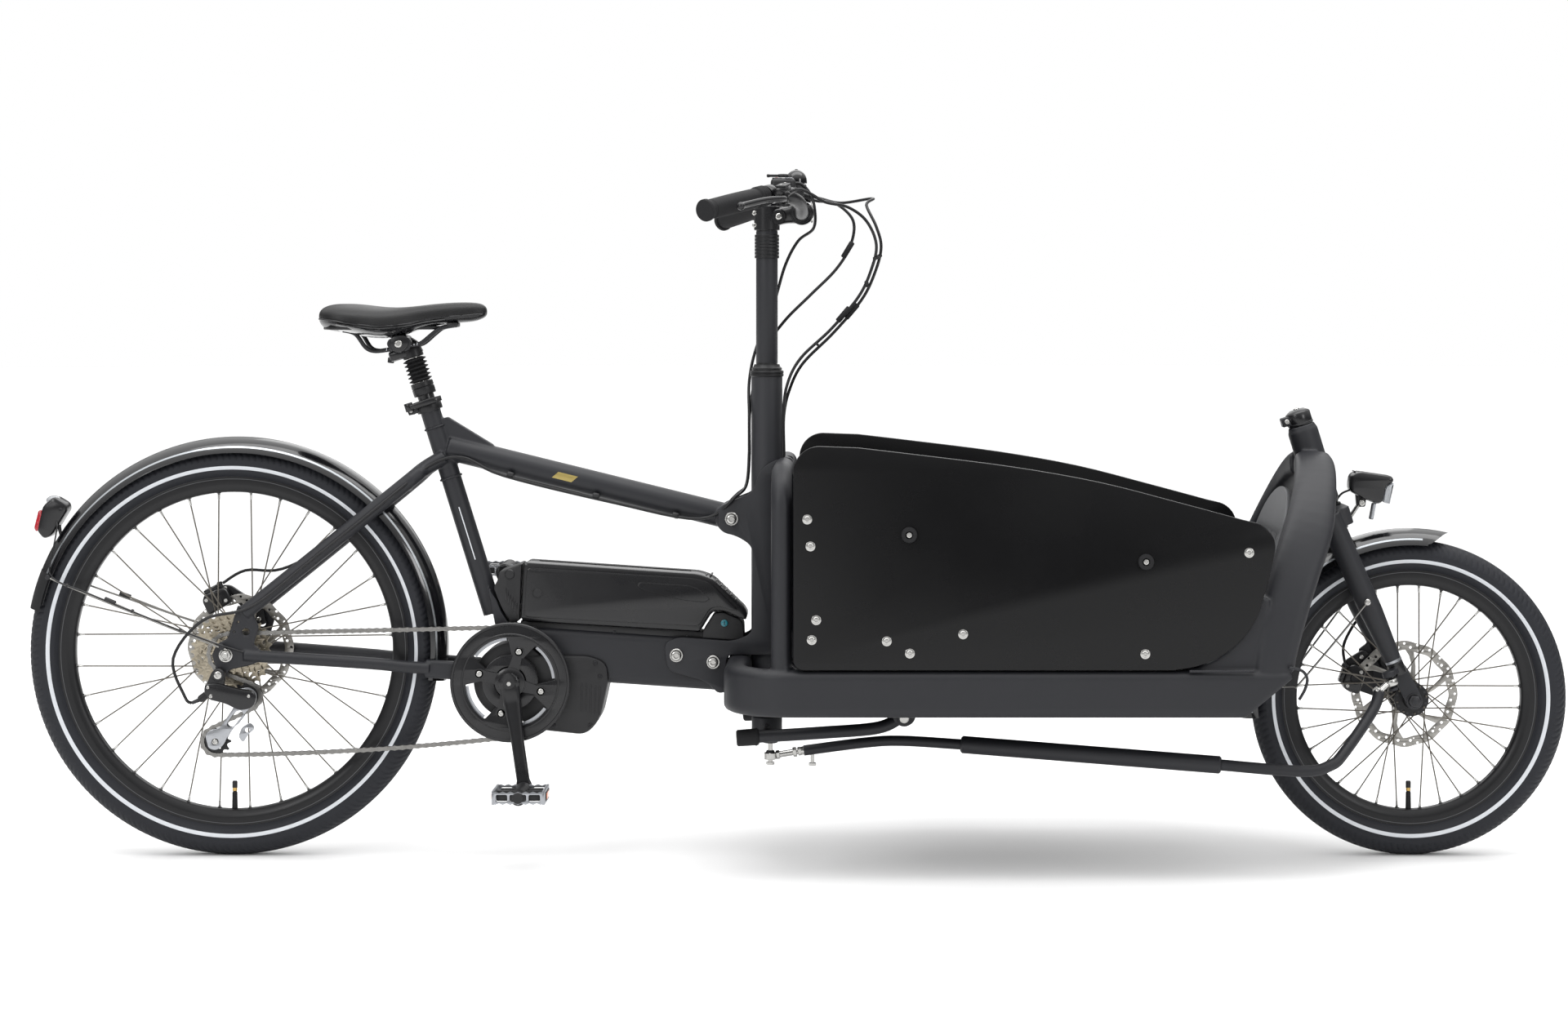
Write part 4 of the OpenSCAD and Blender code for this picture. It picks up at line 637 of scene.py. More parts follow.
def hub(name, body, c, ends, flanges, fr, barrel, node):
    """Turned shell with drilled flanges; ends and flanges are (right, left) in Y."""
    s = Shape(name, body)
    r0, l0 = ends
    r1, l1 = flanges
    bore = 5.2
    prof = [(bore, r0), (barrel - 4, r0), (barrel - 2.6, r0 + 1.2), (barrel - 2, r1 - 6), (barrel, r1 - 2), (fr + 3.4, r1 - 1.6), (fr + 4, r1 - 1),
            (fr + 4, r1 + 1), (fr + 3.4, r1 + 1.6), (barrel + 3, r1 + 1.8), (barrel - 1, r1 + 6), (barrel - 2.4, (r1 + l1) / 2), (barrel - 1, l1 - 6),
            (barrel + 3, l1 - 1.8), (fr + 3.4, l1 - 1.6), (fr + 4, l1 - 1), (fr + 4, l1 + 1), (fr + 3.4, l1 + 1.6), (barrel, l1 + 2),
            (barrel - 2, l1 + 6), (barrel - 2.6, l0 - 1.2), (barrel - 4, l0), (bore, l0)]
    s.use(ANODISED).lathe(prof, c=c, seg=72, closed=True)
    s.use(HARDWARE)
    for y, e in ((r1, -1), (l1, 1)):
        for i in range(16):
            a = i * 22.5 + 6
            s.rod((c[0] + fr * cos(a), y + e * 1.62, c[2] + fr * sin(a)), (c[0] + fr * cos(a), y + e * 1.9, c[2] + fr * sin(a)), 2.0, sides=10)
    s.use(STEEL).lathe([(bore, r0 - 0.05), (barrel - 6, r0 - 0.05)], c=c, seg=48)
    return s.finish(node, smooth=35, slot="black_anodised") if node else s


def rotor(s, c, y, out):
    """Wavy drilled brake ring on a slanted six-armed carrier, with its bolts on the outer side."""
    R = 88
    outer = [(R + 1.1 * math.cos(12 * a) - 1.1, a) for a in (TAU * k / 360 for k in range(360))]
    inner = [(R - 16 + 1.2 * math.cos(12 * a + 0.4), a) for a in (TAU * k / 180 for k in range(180))]
    ring = [(c[0] + r * math.cos(a), c[2] + r * math.sin(a)) for r, a in outer]
    hole = [(c[0] + r * math.cos(a), c[2] + r * math.sin(a)) for r, a in inner]
    holes = [hole]
    for i in range(24):
        a = i * 15
        holes.append(circle((c[0] + (R - 4.6) * cos(a), c[2] + (R - 4.6) * sin(a)), 2.1, 14))
        a += 7.5
        holes.append(circle((c[0] + (R - 10.4) * cos(a), c[2] + (R - 10.4) * sin(a)), 2.3, 14))
        if i % 2 == 0:
            a += 7.5
            holes.append(circle((c[0] + (R - 13.2) * cos(a - 3), c[2] + (R - 13.2) * sin(a - 3)), 1.2, 10))
    s.use(ROTOR).plate(ring, y - 0.9, y + 0.9, holes, edge=0.12)
    for i in range(6):
        a = i * 60
        arm = []
        for r, da, w in ((20, 0, 7.0), (34, 5, 4.6), (50, 12, 3.6), (64, 19, 4.6), (75, 24, 7.5)):
            arm.append((r, a + da, w))
        left = [(c[0] + r * cos(t) - w * sin(t), c[2] + r * sin(t) + w * cos(t)) for r, t, w in arm]
        right = [(c[0] + r * cos(t) + w * sin(t), c[2] + r * sin(t) - w * cos(t)) for r, t, w in reversed(arm)]
        s.plate(left + right, y - 0.85, y + 0.85, edge=0.1)
    s.plate(circle((c[0], c[2]), 29, 48), y - 0.88, y + 0.88, [circle((c[0], c[2]), 17, 36)] +
            [circle((c[0] + 24.5 * cos(a), c[2] + 24.5 * sin(a)), 2.0, 12) for a in range(30, 390, 60)], edge=0.1)
    s.use(HARDWARE)
    for i in range(6):
        a = i * 60
        s.bolt((c[0] + 22 * cos(a), y + out * 0.9, c[2] + 22 * sin(a)), (0, out, 0), 4.2, 2.6)
    return s


tyre("tyre_rear", "rear_wheel", REAR, 559, "rear_tyre", 190)
tyre("tyre_front", "front_wheel", FRONT, 406, "front_tyre", 148)
rim("rim_rear", "rear_wheel", REAR, 559, "rear_rim")
rim("rim_front", "front_wheel", FRONT, 406, "front_rim")
spokes("spokes_rear", "rear_wheel", REAR, 559, 26, -19, 32, "rear_spokes")
spokes("spokes_front", "front_wheel", FRONT, 406, 24, -30, 26, "front_spokes")
hub("hub_rear", "rear_wheel", REAR, (-64, 52), (-19, 32), 26, 16, "rear_hub")
rotor(Shape("rotor_rear", "rear_wheel"), REAR, 50, 1).finish("rear_rotor", smooth=30, slot="steel")
rotor(hub("hub_front", "front_wheel", FRONT, (-46, 44), (-30, 26), 24, 15, None), FRONT, 38, 1).finish("front_hub", smooth=30, slot="black_anodised")


# ------------------------------------------------------------------ load box and frame

RAIL_TOP = 330


def board_outline():
    p = [(38 + 41 * cos(a), 640 + 41 * sin(a)) for a in range(180, 89, -6)]
    p += [(q.x, q.y) for q in catmull([(79, 681, 0), (190, 668, 0), (340, 649, 0), (475, 625, 0), (600, 593, 0), (700, 566, 0)], 4)][1:]
    p += [(709 + 40 * cos(a), 523 + 40 * sin(a)) for a in range(72, -13, -6)]
    p += [(738, 470)] + [(590 + 145 * cos(a), 477 + 144 * sin(a)) for a in range(-22, -87, -6)]
    p += [(590, RAIL_TOP + 1.5), (14, RAIL_TOP + 1.5)]
    return p + [(13 + 16 * cos(a), 347.5 + 16 * sin(a)) for a in range(-110, -171, -20)]


SCREWS = [(19, 567), (24, 525), (33, 410), (26, 379), (143, 377), (179, 358), (262, 388), (546, 357), (708, 515)]
BUFFERS = [(178, 543), (547, 501)]


def load_box():
    s = Shape("side_boards", "frame").use(BOARD)
    s.plate(board_outline(), -262, -250, edge=1.6)
    s.mirror().finish("box_sides", smooth=35, slot="panel")
    s = Shape("floor_and_ends", "frame").use(BOARD)
    s.box((326, 0, 351), (628, 499, 12), 1.2)
    s.box((671, 0, 351), (62, 432, 12), 1.2)
    s.box((6, 0, 471), (10, 499, 270), 1.2)
    # Foot well board: grey metal with slots, tilted back, with a rounded top.
    m = Matrix.Translation((712, 0, 352)) @ Matrix.Rotation(math.radians(20), 4, "Y")
    flat = [(-216, 0), (216, 0), (200, 72), (178, 140)] + [(145 * cos(a), 190 + 75 * sin(a)) for a in range(0, 181, 10)] + [(-178, 140), (-200, 72)]
    slots = [[(x + 3 * cos(a), z + (9 if sin(a) > 0 else -9) + 3 * sin(a)) for a in range(0, 360, 30)] for x in (-120, -60, 0, 60, 120) for z in (60, 120, 180)]
    turn = Matrix(((0, 1, 0, 0), (1, 0, 0, 0), (0, 0, 1, 0), (0, 0, 0, 1)))
    s.use(ALU).plate(flat, -8, 0, slots, edge=0.8, matrix=m @ turn)
    s.finish("box_boards", smooth=35, slot="panel")
    s = Shape("box_screws", "frame")
    for x, z in SCREWS:
        s.use(STEEL).lathe([(7.6, 0), (7.6, -0.7), (7.2, -0.9), (0.1, -0.9)], c=(x, -262, z), seg=28)
        s.bolt((x, -262.9, z), (0, -1, 0), 5.4, 2.6)
        s.use(HARDWARE).bolt((x, -250, z), (0, 1, 0), 5.0, 4.0)
    for x, z in BUFFERS:
        s.use(RUBBER).lathe([(12.2, 0), (12.6, -1.5), (12.6, -5), (11.6, -7.2), (9.5, -7.8), (6.4, -7.8), (5.2, -4.5), (0.1, -4.5)], c=(x, -262, z), seg=36)
        s.use(STEEL).bolt((x, -266.4, z), (0, -1, 0), 4.6, 3.0)
        s.use(HARDWARE).bolt((x, -250, z), (0, 1, 0), 5.0, 4.0)
    s.mirror().finish("box_fasteners", smooth=35, slot="steel")


def bead(s, path, r=2.0, pitch=3.2):
    """A weld bead: overlapping ripples along a line."""
    p = catmull(path, 12)
    length = sum((p[i + 1] - p[i]).length for i in range(len(p) - 1))
    n = max(4, int(length / pitch))
    acc, i, left = [], 0, 0.0
    for k in range(n * 4 + 1):
        d, j = length * k / (n * 4), 0
        run = 0.0
        while j < len(p) - 2 and run + (p[j + 1] - p[j]).length < d:
            run += (p[j + 1] - p[j]).length
            j += 1
        seg = (p[j + 1] - p[j])
        acc.append(p[j] + seg * min(1, (d - run) / max(seg.length, 1e-6)))
    radii = [r * (1 + 0.2 * (1, 0.35, -0.3, 0.35)[k % 4]) for k in range(len(acc))]
    s.tube(acc, radii, sides=10, steps=1)


def ring_bead(s, c, axis, r, wire=1.9, ripples=40, lean=0.0, clip=None):
    """A weld bead round a tube, in a plane across axis; lean is not used."""
    axis = Vector(axis).normalized()
    u = axis.orthogonal().normalized()
    w = axis.cross(u)
    n = ripples * 4
    rings = []
    for k in range(n):
        a = TAU * k / n
        d = u * math.cos(a) + w * math.sin(a)
        rr = wire * (1 + 0.18 * (1, 0.3, -0.35, 0.3)[k % 4])
        centre = Vector(c) + d * r
        rings.append([centre + rr * (d * math.cos(TAU * j / 8) + axis * math.sin(TAU * j / 8)) for j in range(8)])
    s.skin(rings, loop=True)


def weldments():
    merged("front_frame", ["box_frame", "front_beams"], "frame", PAINT, 0.0026, 5)
    # Rear frame: seat tube, top tube, stays and lower beam as one welded skin.
    extra = Shape("extra", "frame")
    merged("rear_frame", ["seat_tube", "top_tube", "rear_stays", "lower_beam"], "frame", PAINT, 0.0018, 4, extra)
    s = Shape("mast", "frame").use(PAINT)
    s.lathe([(17.6, 236), (25.5, 236), (25.5, 792), (17.6, 792)], c=(MAST_X, 0, 0), axis="Z", seg=72, closed=True)
    s.use(ANODISED)
    for z in (784, 228):
        s.lathe([(17.6, z), (26.6, z), (27.5, z + 1), (27.5, z + 4.2), (26.9, z + 4.8), (27.5, z + 5.4), (27.5, z + 9), (26.6, z + 10), (17.6, z + 10)],
                c=(MAST_X, 0, 0), axis="Z", seg=72, closed=True)
    s.finish("mast_tube", smooth=35, slot="frame_paint")
    s = Shape("plates", "frame").use(PAINT)
    outline = [(-8, 655), (-8, 628), (-38, 628), (-38, 331), (-117, 331), (-117, 270), (-130, 268), (-150, 288), (-212, 305), (-218, 350), (-195, 360),
               (-106, 353), (-74, 366), (-74, 508), (-98, 524), (-128, 532), (-130, 572), (-98, 586), (-74, 595), (-62, 632), (-40, 648)]
    s.plate(rounded(outline, 13, 6), -37, -31, [circle((-108, 552.5), 5.4, 24)], edge=1.2)
    # Beads along the plate's edges on the mast.
    bead(s, [(-36, -30.5, 340), (-36, -30.5, 480), (-36, -30.5, 620)], 2.1)
    bead(s, [(-60, -30.5, 600), (-74, -30.2, 590)], 1.6)
    s.mirror().finish("mast_plates", smooth=35, slot="frame_paint")


def welds():
    s = Shape("weld_beads", "frame").use(PAINT)
    # Gusset joint ahead of the board: down the slanted edge and back along the rail.
    for e in (-1, 1):
        bead(s, [(716, e * 262.3, 331), (700, e * 262.3, 330.4), (660, e * 262.2, 330.2), (615, e * 262.2, 330.2)], 2.0)
        bead(s, [(770, e * 262.0, 336), (790, e * 259.0, 331), (800, e * 250, 318), (799, e * 236, 300), (792, e * 222, 282)], 2.2)
    # Head tube to beams.
    up = Vector((-sin(17), 0, cos(17)))
    ring_bead(s, HEAD + up * -38, up, 25.4, 2.0, 44)
    # Seat cluster.
    seat = Vector((-sin(17.3), 0, cos(17.3)))
    ring_bead(s, CRANK + seat * 432, seat, 17.0, 1.7, 34)
    ring_bead(s, CRANK + seat * 346, seat, 17.0, 1.8, 34)
    s.finish(smooth=50, slot="frame_paint")
    s = Shape("mast_bolts", "frame")
    for x, z in ((-108, 552.5), (-198, 330), (-138, 319)):
        for e in (-1, 1):
            s.use(STEEL).lathe([(11, 37 * e), (11, 38.4 * e), (10.4, 39 * e), (5, 39 * e)], c=(x, 0, z), seg=40)
            s.bolt((x, 39 * e, z), (0, e, 0), 8.6, 7.4)
    s.use(STEEL).rod(REAR + Vector((0, -86, 0)), REAR + Vector((0, 86, 0)), 4.9, edge=0.8)
    for e in (-1, 1):
        s.lathe([(4.9, 75 * e), (11, 75 * e), (11, 76.6 * e), (9.2, 76.8 * e)], c=REAR, seg=32)
        s.lathe([(9.2, 76.8 * e), (9.2, 82 * e), (7.6, 83.2 * e), (4.9, 83.2 * e)], c=REAR, seg=6)
    s.finish("frame_bolts", smooth=35, slot="steel")


load_box()
weldments()
welds()


# ------------------------------------------------------------------ drive

def chain_path():
    """The chain's pitch line as a closed list of (x, z), from the four wheels it runs on."""
    wheels = [(CRANK.x, CRANK.z, pitch_r(44), 1), (TENSION.x, TENSION.z, pitch_r(11), 1),
              (GUIDE.x, GUIDE.z, pitch_r(11), -1), (REAR.x, REAR.z, pitch_r(16), 1)]

    def leave(a, b):
        dx, dz = b[0] - a[0], b[1] - a[1]
        r = a[3] * a[2] - b[3] * b[2]
        return math.degrees(math.atan2(dz, dx)) + a[3] * math.degrees(math.acos(a[3] * r / math.hypot(dx, dz)))

    out, n = [], 4
    for i, w in enumerate(wheels):
        before, after = wheels[i - 1], wheels[(i + 1) % n]
        a0 = leave(before, w) + (0 if before[3] == w[3] else 180)
        a1 = leave(w, after)
        turn = -((a0 - a1) % 360) if w[3] > 0 else (a1 - a0) % 360
        steps = max(2, math.ceil(abs(turn) / 3))
        out += [(w[0] + w[2] * cos(a0 + turn * k / steps), w[1] + w[2] * sin(a0 + turn * k / steps)) for k in range(steps + 1)]
        if i == 0:
            # The slack lower run hangs a little between the ring and the cage.
            s, e = out[-1], (after[0] + after[2] * cos(leave(w, after)), after[1] + after[2] * sin(leave(w, after)))
            out += [(s[0] + (e[0] - s[0]) * t, s[1] + (e[1] - s[1]) * t - 26 * t * (1 - t)) for t in (k / 24 for k in range(1, 24))]
    return out


def chain():
    p = chain_path()
    p.append(p[0])
    at = [0.0]
    for a, b in zip(p, p[1:]):
        at.append(at[-1] + math.hypot(b[0] - a[0], b[1] - a[1]))
    n = 2 * round(at[-1] / PITCH / 2)
    pins, j = [], 0
    for k in range(n):
        d = at[-1] * k / n
        while at[j + 1] < d:
            j += 1
        t = (d - at[j]) / (at[j + 1] - at[j])
        pins.append((p[j][0] + (p[j + 1][0] - p[j][0]) * t, p[j][1] + (p[j + 1][1] - p[j][1]) * t))
    s = Shape("chain_links", "frame").use(CHAIN)
    for k in range(n):
        a, b = Vector((*pins[k], 0)), Vector((*pins[(k + 1) % n], 0))
        u = (b - a).normalized()
        w = Vector((-u.y, u.x, 0))
        wide, gap = ((3.9, 2.4), (1.5, 2.4))[k % 2], 3.25 if k % 2 == 0 else 2.35
        r, l = 3.9, (b - a).length
        out = []
        for q, s0 in ((b, 1), (a, -1)):
            out += [q + (u * math.cos(t) * s0 + w * math.sin(t) * s0) * r for t in [math.radians(x) for x in (-80, -48, -16, 16, 48, 80)]]
            out.append((a + b) / 2 + w * s0 * 2.7)
        for y in (CHAIN_Y - gap, CHAIN_Y + gap):
            s.skin([[(q.x, y - 0.45, q.y) for q in out], [(q.x, y + 0.45, q.y) for q in out]])
        s.rod((a.x, CHAIN_Y - 2.3, a.y), (a.x, CHAIN_Y + 2.3, a.y), 3.7, sides=12)
        s.rod((a.x, CHAIN_Y - 4.1, a.y), (a.x, CHAIN_Y + 4.1, a.y), 1.8, edge=0.3, sides=10)
    s.finish("chain", smooth=30, slot="steel")


def cassette():
    s = Shape("cassette_cogs", "cassette")
    for i, t in enumerate(COGS):
        y, r, holes = CHAIN_Y + (i - 2) * 4.8, pitch_r(t), []
        c = (REAR.x, REAR.z)
        if t > 20:
            w = r - 26
            for k in range(6):
                a = k * 60 + i * 11
                rr = (r - 5 + 20) / 2
                holes.append([(c[0] + rr * cos(a + d) + h * cos(a + d), c[1] + rr * sin(a + d) + h * sin(a + d))
                              for d, h in [(-13, -w / 2.6), (0, -w / 2.3), (13, -w / 2.6), (16, 0), (13, w / 2.6), (0, w / 2.2), (-13, w / 2.6), (-16, 0)]])
        holes.append(circle(c, 14.2, 40))
        s.use(COG).plate(toothed(t, c, i * 0.7), y - 0.9, y + 0.9, holes, edge=0.25)
    y0, y1 = CHAIN_Y - 12.4, CHAIN_Y + 25
    s.use(HARDWARE).lathe([(14.2, y0 + 3), (17.6, y0 + 3), (17.6, y1), (14.2, y1)], c=REAR, seg=48, closed=True)
    s.use(STEEL).lathe([(14.2, y0), (16.4, y0), (17.4, y0 + 0.8), (17.4, y0 + 3), (14.2, y0 + 3)], c=REAR, seg=48, closed=True)
    for k in range(12):
        a = k * 30
        s.box((REAR.x + 15.2 * cos(a), y0 + 0.2, REAR.z + 15.2 * sin(a)), (2, 1.2, 2), 0.3)
    s.use(COG)
    for k in range(3):
        a = k * 120 + 20
        s.rod((REAR.x + 24 * cos(a), CHAIN_Y, REAR.z + 24 * sin(a)), (REAR.x + 24 * cos(a), y1, REAR.z + 24 * sin(a)), 2.2, sides=12)
    s.finish("cassette", smooth=30, slot="cog_steel")


def crankset():
    s = Shape("chainring_guard", "crankset")
    c = (CRANK.x, CRANK.z)
    bolts = [(c[0] + 52 * cos(-a), c[1] + 52 * sin(-a)) for a in (16, 106, 196, 286)]

    def window(turn, r0, r1, half):
        out = [(c[0] + r1 * cos(turn + d), c[1] + r1 * sin(turn + d)) for d in range(-half, half + 1, 4)]
        out += [(c[0] + r0 * cos(turn + d), c[1] + r0 * sin(turn + d)) for d in range(half + 6, -half - 7, -4)]
        return rounded(out, 5, 3)

    windows = [window(-a, 45, 73, 26) for a in (61, 151, 241, 331)]
    s.use(COG).plate(toothed(44, c), -50.9, -49.1, [circle(c, 75.5, 72)], edge=0.25)
    s.use(SEMI).plate(circle(c, 75.4, 96), -50.8, -49.2, [circle(c, 26.2, 48)] + windows, edge=0.2)
    guard = [q for q in circle(c, 97, 120)]
    s.use(SEMI).plate(guard, -56.5, -54.5, [circle(c, 26.2, 48)] + windows, edge=0.8)
    # Raised outer lip and inner step of the guard.
    s.lathe([(92, -56.4), (93, -57.4), (96, -57.4), (97.4, -56.2), (97.4, -54.6), (92, -54.6)], c=CRANK, seg=120, closed=True)
    s.lathe([(76.4, -56.4), (77.2, -57.1), (79.2, -57.1), (80, -56.4)], c=CRANK, seg=96)
    # Machined inner rim seen through the windows.
    s.use(SILVER)
    for a in (61, 151, 241, 331):
        s.lathe([(73.4, -54), (74.6, -52), (74.6, -51), (68, -51)], c=CRANK, seg=14, a0=-a - 24, a1=-a + 24)
    for x, z in bolts:
        s.use(HARDWARE).rod((x, -58.2, z), (x, -49, z), 7.2, edge=0.6, sides=28)
        s.use(STEEL).bolt((x, -58.2, z), (0, -1, 0), 4.6, 1.8)
    s.finish("chainring", smooth=32, slot="black_anodised")

    s = Shape("crank_set_arms", "crankset")

    def arm(lean, y, out, flip):
        """A forged arm: round eye, a waist with a shallow channel, and a smaller pedal eye."""
        m = Matrix.Translation(CRANK) @ Matrix.Rotation(math.radians(-lean), 4, "Y")
        rings = []
        for k in range(25):
            t = k / 24
            z = 16 - t * 196
            w = 17 if t < 0.05 else 16.5 - 6.0 * min(1, (t - 0.05) / 0.5) + (2.4 if t > 0.9 else 0)
            if k == 0:
                w = 8
            if k == 24:
                w = 7
            d = 13 - 3.5 * t
            yy = y + out * 19 * (max(0.0, t - 0.1) / 0.9)
            ring = []
            for j in range(24):
                a = TAU * j / 24
                ca, sa = math.cos(a), math.sin(a)
                px = w * math.copysign(abs(ca) ** 0.6, ca)
                py = d / 2 * math.copysign(abs(sa) ** 0.55, sa)
                # Channel in the outer face.
                if sa * out > 0.75 and 0.2 < t < 0.85:
                    py *= 0.72
                ring.append((px, yy + py, z))
            rings.append(ring)
        s.use(SEMI).skin(rings, matrix=m)
        s.lathe([(6.5, y + out * 6), (13.5, y + out * 6), (16.4, y + out * 4), (16.8, y), (16.4, y - out * 6), (8, y - out * 9)], axis="Y", seg=48, matrix=m)
        s.use(PLASTIC).lathe([(0.1, y + out * 7.0), (7.4, y + out * 7.0), (9.6, y + out * 6.4), (10.0, y + out * 5)], seg=32, matrix=m)
        s.use(STEEL).lathe([(0.1, y + out * 7.6), (3.6, y + out * 7.6), (4.0, y + out * 6.8)], seg=6, matrix=m)
        ye = y + out * 19
        s.use(HARDWARE).rod((0, ye - out * 4, -170), (0, ye + out * 9, -170), 7.0, edge=0.8, matrix=m)
        s.use(STEEL).rod((0, ye + out * 8, -170), (0, ye + out * 94, -170), 4.9, matrix=m)
        s.rod((0, ye - out * 5.2, -170), (0, ye - out * 3, -170), 5.0, sides=6, matrix=m)

    arm(9, -68, -1, 0)
    arm(189, 70, 1, 1)
    s.use(STEEL).rod(CRANK + Vector((0, -66, 0)), CRANK + Vector((0, 68, 0)), 8.4)
    s.use(SEMI)
    for a in (16, 106, 196, 286):
        m = Matrix.Translation(CRANK) @ Matrix.Rotation(math.radians(a), 4, "Y")
        s.skin([[(x, -55.6 + dy, dz) for dy, dz in ((-2.6, -w), (-2.6, w), (2.6, w), (2.6, -w))] for x, w in ((10, 13), (26, 9), (42, 7.5), (52, 8.6), (58, 6))], matrix=m)
    s.lathe([(9, -62), (20, -62), (24.4, -60), (25, -56), (25, -52.6), (9, -52.6)], c=CRANK, seg=56, closed=True)
    s.finish("crank_arms", smooth=38, slot="black_anodised")

    for name, body, c, f in (("pedal_right", "right_pedal", Vector((CRANK.x + 170 * sin(9), -9, CRANK.z - 170 * cos(9))), 1),
                             ("pedal_left", "left_pedal", Vector((CRANK.x - 170 * sin(9), 11, CRANK.z + 170 * cos(9))), -1)):
        s = Shape(name + "_cage", body)
        o = lambda x, y, z: (c.x + x, c.y + f * y, c.z + z)
        s.use(PLASTIC)
        bl = 88
        s.lathe([(5.1, f * -88), (11.5, f * -88), (13, f * -92), (13, f * -104), (11, f * -112), (11, f * -150), (13, f * -160), (13, f * -172), (11.5, f * -176), (5.1, f * -176)], c=c, seg=32, closed=True)
        for x in (-1, 1):
            s.box(o(x * 22, -136, 0), (36, 9, 13), 2)
            s.box(o(x * 20, -106, 0), (30, 8, 11), 2)
            s.box(o(x * 20, -166, 0), (30, 8, 11), 2)
        # Serrated silver cage.
        s.use(SILVER)
        for x in (-1, 1):
            for k in range(13):
                s.box(o(x * 40, -100 - k * 6, 0), (4.6, 3.4, 22), 0.6)
            s.box(o(x * 40, -136, 0), (3.4, 82, 17), 0.8)
        for y in (-96, -175):
            out = [(-40, 8), (-36, 10.5)] + [(-30 + k * 6, 10.5 if k % 2 else 8) for k in range(11)] + [(36, 10.5), (40, 8), (40, -8), (36, -10.5)] + [(30 - k * 6, -10.5 if k % 2 else -8) for k in range(11)] + [(-36, -10.5), (-40, -8)]
            yy = c.y + f * y
            holes = [rounded([(c.x + a - b, c.z + 5.4), (c.x + a + b, c.z + 5.4), (c.x + a + b, c.z - 5.4), (c.x + a - b, c.z - 5.4)], 2.5, 3) for a, b in ((-26, 9), (0, 13), (26, 9))]
            s.plate([(c.x + a, c.z + b) for a, b in out], yy - 1.4, yy + 1.4, holes, edge=0.5)
        # Amber reflectors front and back, and the cap at the outer end.
        s.use(AMBER)
        for x in (-1, 1):
            s.box(o(x * 42.6, -136, 0), (3.6, 44, 10), 0.8)
        s.use(PLASTIC)
        for x in (-1, 1):
            s.box(o(x * 41.6, -136, 0), (4.2, 50, 14), 1)
        s.rod(o(0, -176, 0), o(0, -179, 0), 9, edge=1)
        s.finish(name, smooth=35, slot="black_plastic")


def pulleys():
    for name, c in (("guide_pulley", GUIDE), ("tension_pulley", TENSION)):
        s = Shape(name + "_wheel", name)
        s.use(PLASTIC).plate(toothed(11, (c.x, c.z)), -51.6, -48.4, [circle((c.x, c.z), 6.5, 24)] +
                             [circle((c.x + 11.5 * cos(a), c.z + 11.5 * sin(a)), 2.6, 12) for a in range(0, 360, 60)], edge=0.5)
        s.use(STEEL).lathe([(3.1, -52.4), (6.4, -52.4), (6.6, -52), (6.6, -48), (3.1, -47.8)], c=c, seg=28, closed=True)
        s.finish(name, smooth=35, slot="black_plastic")


